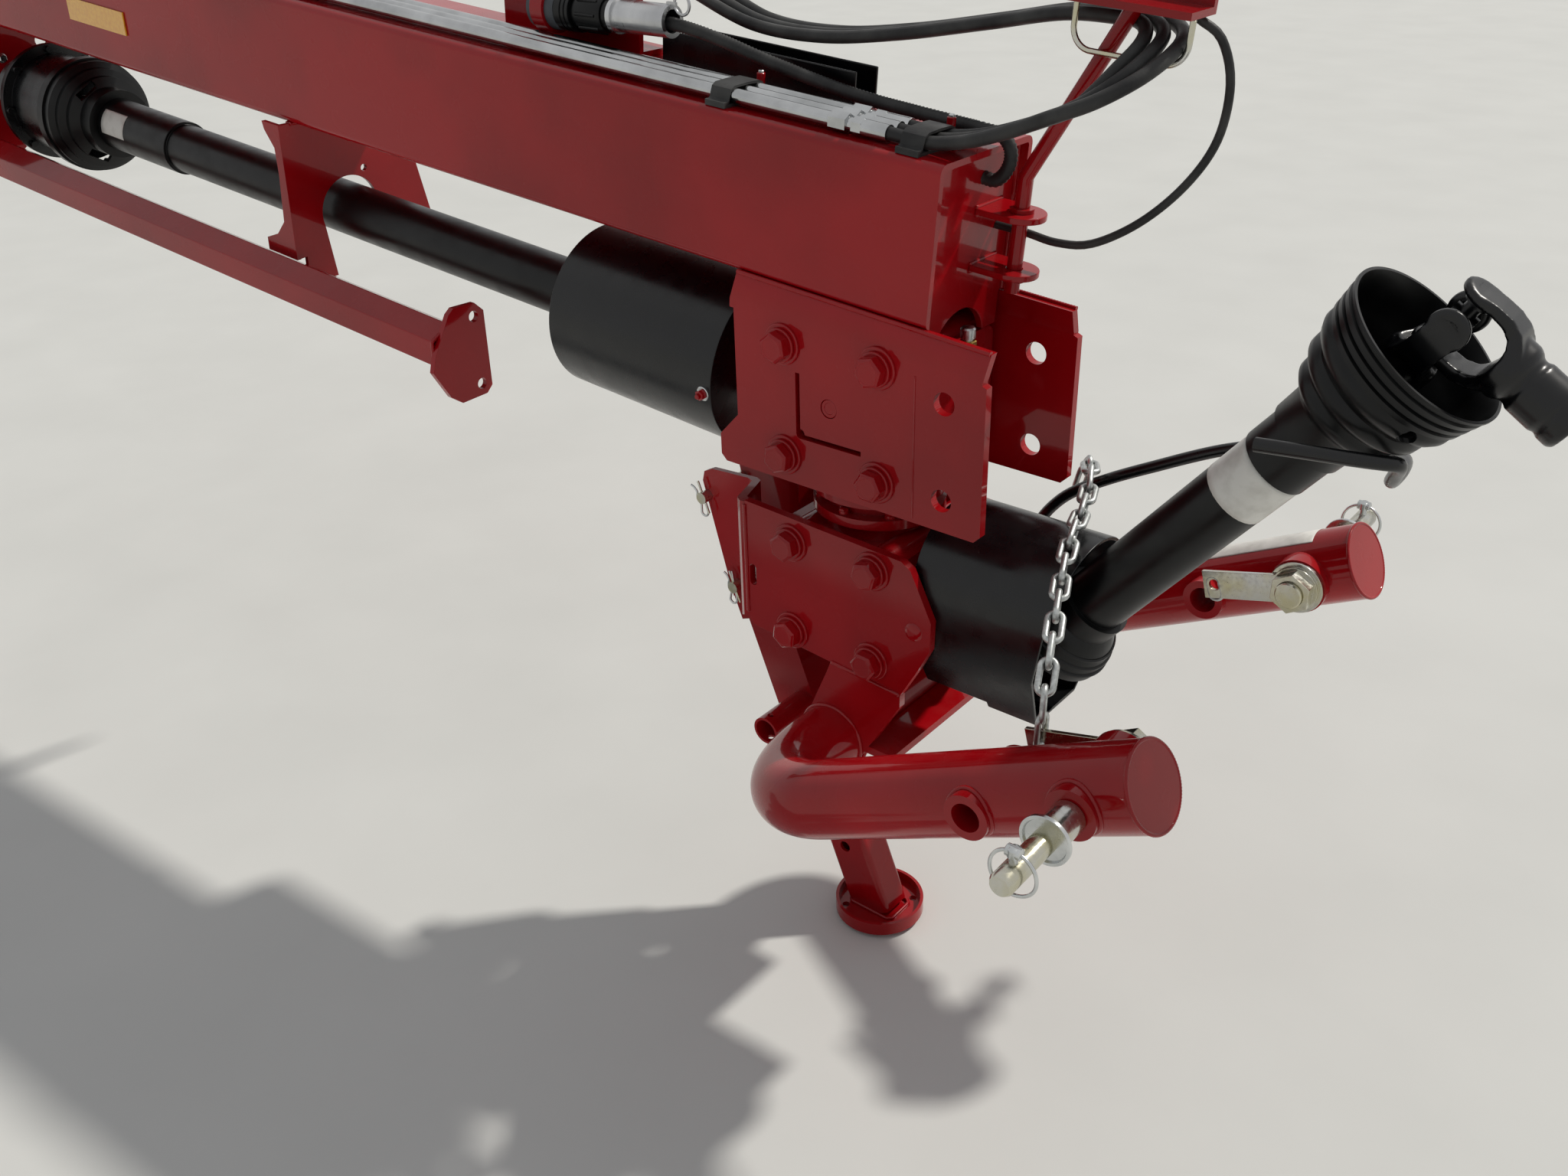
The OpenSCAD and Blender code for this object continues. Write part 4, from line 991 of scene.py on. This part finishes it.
# %% Guard screws and ribs
BULKHEAD = HEAD @ at(-2250, 0, 407.4)
BELL_SPOTS = [DRIVE @ at(-209, 0, 0) @ turned("X", a) @ at(0, 0, -122) @ turned("Y", 90)
              for a in (-84, 84)]
shape = bmesh.new()
for k in range(6):
    spot = BULKHEAD @ turned("X", 30 + 60 * k) @ at(0, 0, 84)
    turn(shape, [(-0.5, 10), (2, 10), (2.6, 9)], 24, spot)
    hexagon(shape, 2, 7, 15, spot)
finish_piece("bulkhead_screws", shape, silver_plate, "drawbar", sharp=28)
screws, washers = bmesh.new(), bmesh.new()
for spot in BELL_SPOTS:
    hexagon(screws, 3, 8, 13, spot)
    turn(screws, [(10, 3.8), (14, 3.8), (15, 3)], 20, spot)
    turn(washers, [(0, 10.5), (2.5, 10.5), (3.2, 9.6)], 28, spot)
finish_piece("bell_screws", screws, red_on_steel, "drawbar", sharp=30)
finish_piece("bell_washers", washers, silver_plate, "drawbar", sharp=30)
shape = bmesh.new()
for x, r in ((14, 73.4), (26, 69.8), (38, 64.2)):
    turn(shape, [(x - 2, r), (x - 1, r + 2.2), (x + 1, r + 1.6), (x + 2, r - 1), (x, r - 2)], 72,
         SHAFT, hollow=True)
finish_piece("rear_bell_ribs", shape, black_plastic, "shaft_rear", sharp=50)

# %% [markdown]
# Labels are bare vinyl: a wrap round the shaft's guard tube under the cone, a strip along the
# top of the left yoke arm and a small one on the drive line's guard tube. Each is a thin patch
# that follows its tube, with a little thickness from a solidify modifier.

# %% Bare labels
FILM_THICK_MM, ACROSS, AROUND = 0.3, 8, 24


def wrap(name, place, radius, x0, x1, start, end, body):
    shape = bmesh.new()
    angles = [math.radians(start + (end - start) * k / AROUND) for k in range(AROUND + 1)]
    grid = [[shape.verts.new(place @ Vector((x0 + (x1 - x0) * i / ACROSS, radius * math.cos(a),
                                             radius * math.sin(a)))) for a in angles]
            for i in range(ACROSS + 1)]
    for i in range(ACROSS):
        for k in range(AROUND):
            shape.faces.new((grid[i][k], grid[i][k + 1], grid[i + 1][k + 1], grid[i + 1][k]))
    film = finish_piece(name, shape, white_vinyl, body).modifiers.new("film", "SOLIDIFY")
    film.thickness, film.offset = FILM_THICK_MM * MM, 0


wrap("shaft_label", SHAFT, 42.4, 336, 399, 60, 330, "shaft_rear")
wrap("arm_label", YOKE @ at(0, ARM_Y, 0), TUBE_R + 0.3, -210, 20, 48, 118, "hitch_head")
wrap("guard_label", DRIVE, 50.4, -1880, -1800, 130, 185, "drawbar")

# %% [markdown]
# The floor is plain pale concrete, matt and even, and clouds of 350 mm hardly show in it.

# %% Floor
FLOOR_HALF, FLOOR_CLOUD_MM = 60, 350
floor_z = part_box("stand_leg")[0].z
floor_finish, tree, shader = new_finish("pale_concrete")
tree.links.new(wander(tree, grain(tree, FLOOR_CLOUD_MM, 6.0), srgb("#D1D2CF"), srgb("#D6D7D4"),
                      0.3, 0.7), shader.inputs["Base Color"])
shader.inputs["Roughness"].default_value = 0.85
floor_mesh = bpy.data.meshes.new("floor")
floor_mesh.from_pydata([(x * FLOOR_HALF, y * FLOOR_HALF, floor_z)
                        for x, y in ((-1, -1), (1, -1), (1, 1), (-1, 1))], [], [(0, 1, 2, 3)])
floor_mesh.materials.append(floor_finish)
floor = new_object("floor", floor_mesh)
print("floor at", round(floor_z, 4))

# %% [markdown]
# Soft light comes from a pale sky all round, greyer towards the horizon, and from a high sun on
# the far side, six times as wide as the real one so that the shadow has a soft edge. The camera,
# polished metal and glass see a plain bright backdrop in place of the sky. The level is plain:
# a colour renders about as it is written.

# %% Sky and sun
BACKDROP, SKY_STRENGTH = (1.4, 1.4, 1.4, 1), 0.46
SUN_STRENGTH, SUN_DEGREES, SUN_WAY = 2.5, 3, (-0.30, -0.60, -0.78)
world = bpy.data.worlds.new("pale_sky")
bpy.context.scene.world = world
world.use_nodes = True
tree = world.node_tree
sky = tree.nodes["Background"]
height = add_node(tree, "SeparateXYZ", {
    "Vector": add_node(tree, "TexCoord").outputs["Generated"]}).outputs["Z"]
dome = wander(tree, height, srgb("#5E646B"), srgb("#FAFCFF"), 0.0, 0.75)
paths = add_node(tree, "LightPath").outputs
seen = paths["Is Camera Ray"]
for ray in ("Is Glossy Ray", "Is Transmission Ray"):
    seen = add_node(tree, "Math", {0: seen, 1: paths[ray]}, operation="MAXIMUM").outputs["Value"]
tree.links.new(wander(tree, seen, dome, BACKDROP, 0, 1), sky.inputs["Color"])
sky.inputs["Strength"].default_value = SKY_STRENGTH

sun_data = bpy.data.lights.new("wide_sun", "SUN")
sun_data.energy, sun_data.angle = SUN_STRENGTH, math.radians(SUN_DEGREES)
sun_data.color = srgb("#FFFAF2")[:3]
sun = new_object("wide_sun", sun_data)
sun.rotation_euler = Vector(SUN_WAY).to_track_quat("-Z", "Y").to_euler()
bpy.context.scene.view_settings.view_transform = "Standard"
print("sky", SKY_STRENGTH, "sun", SUN_STRENGTH)
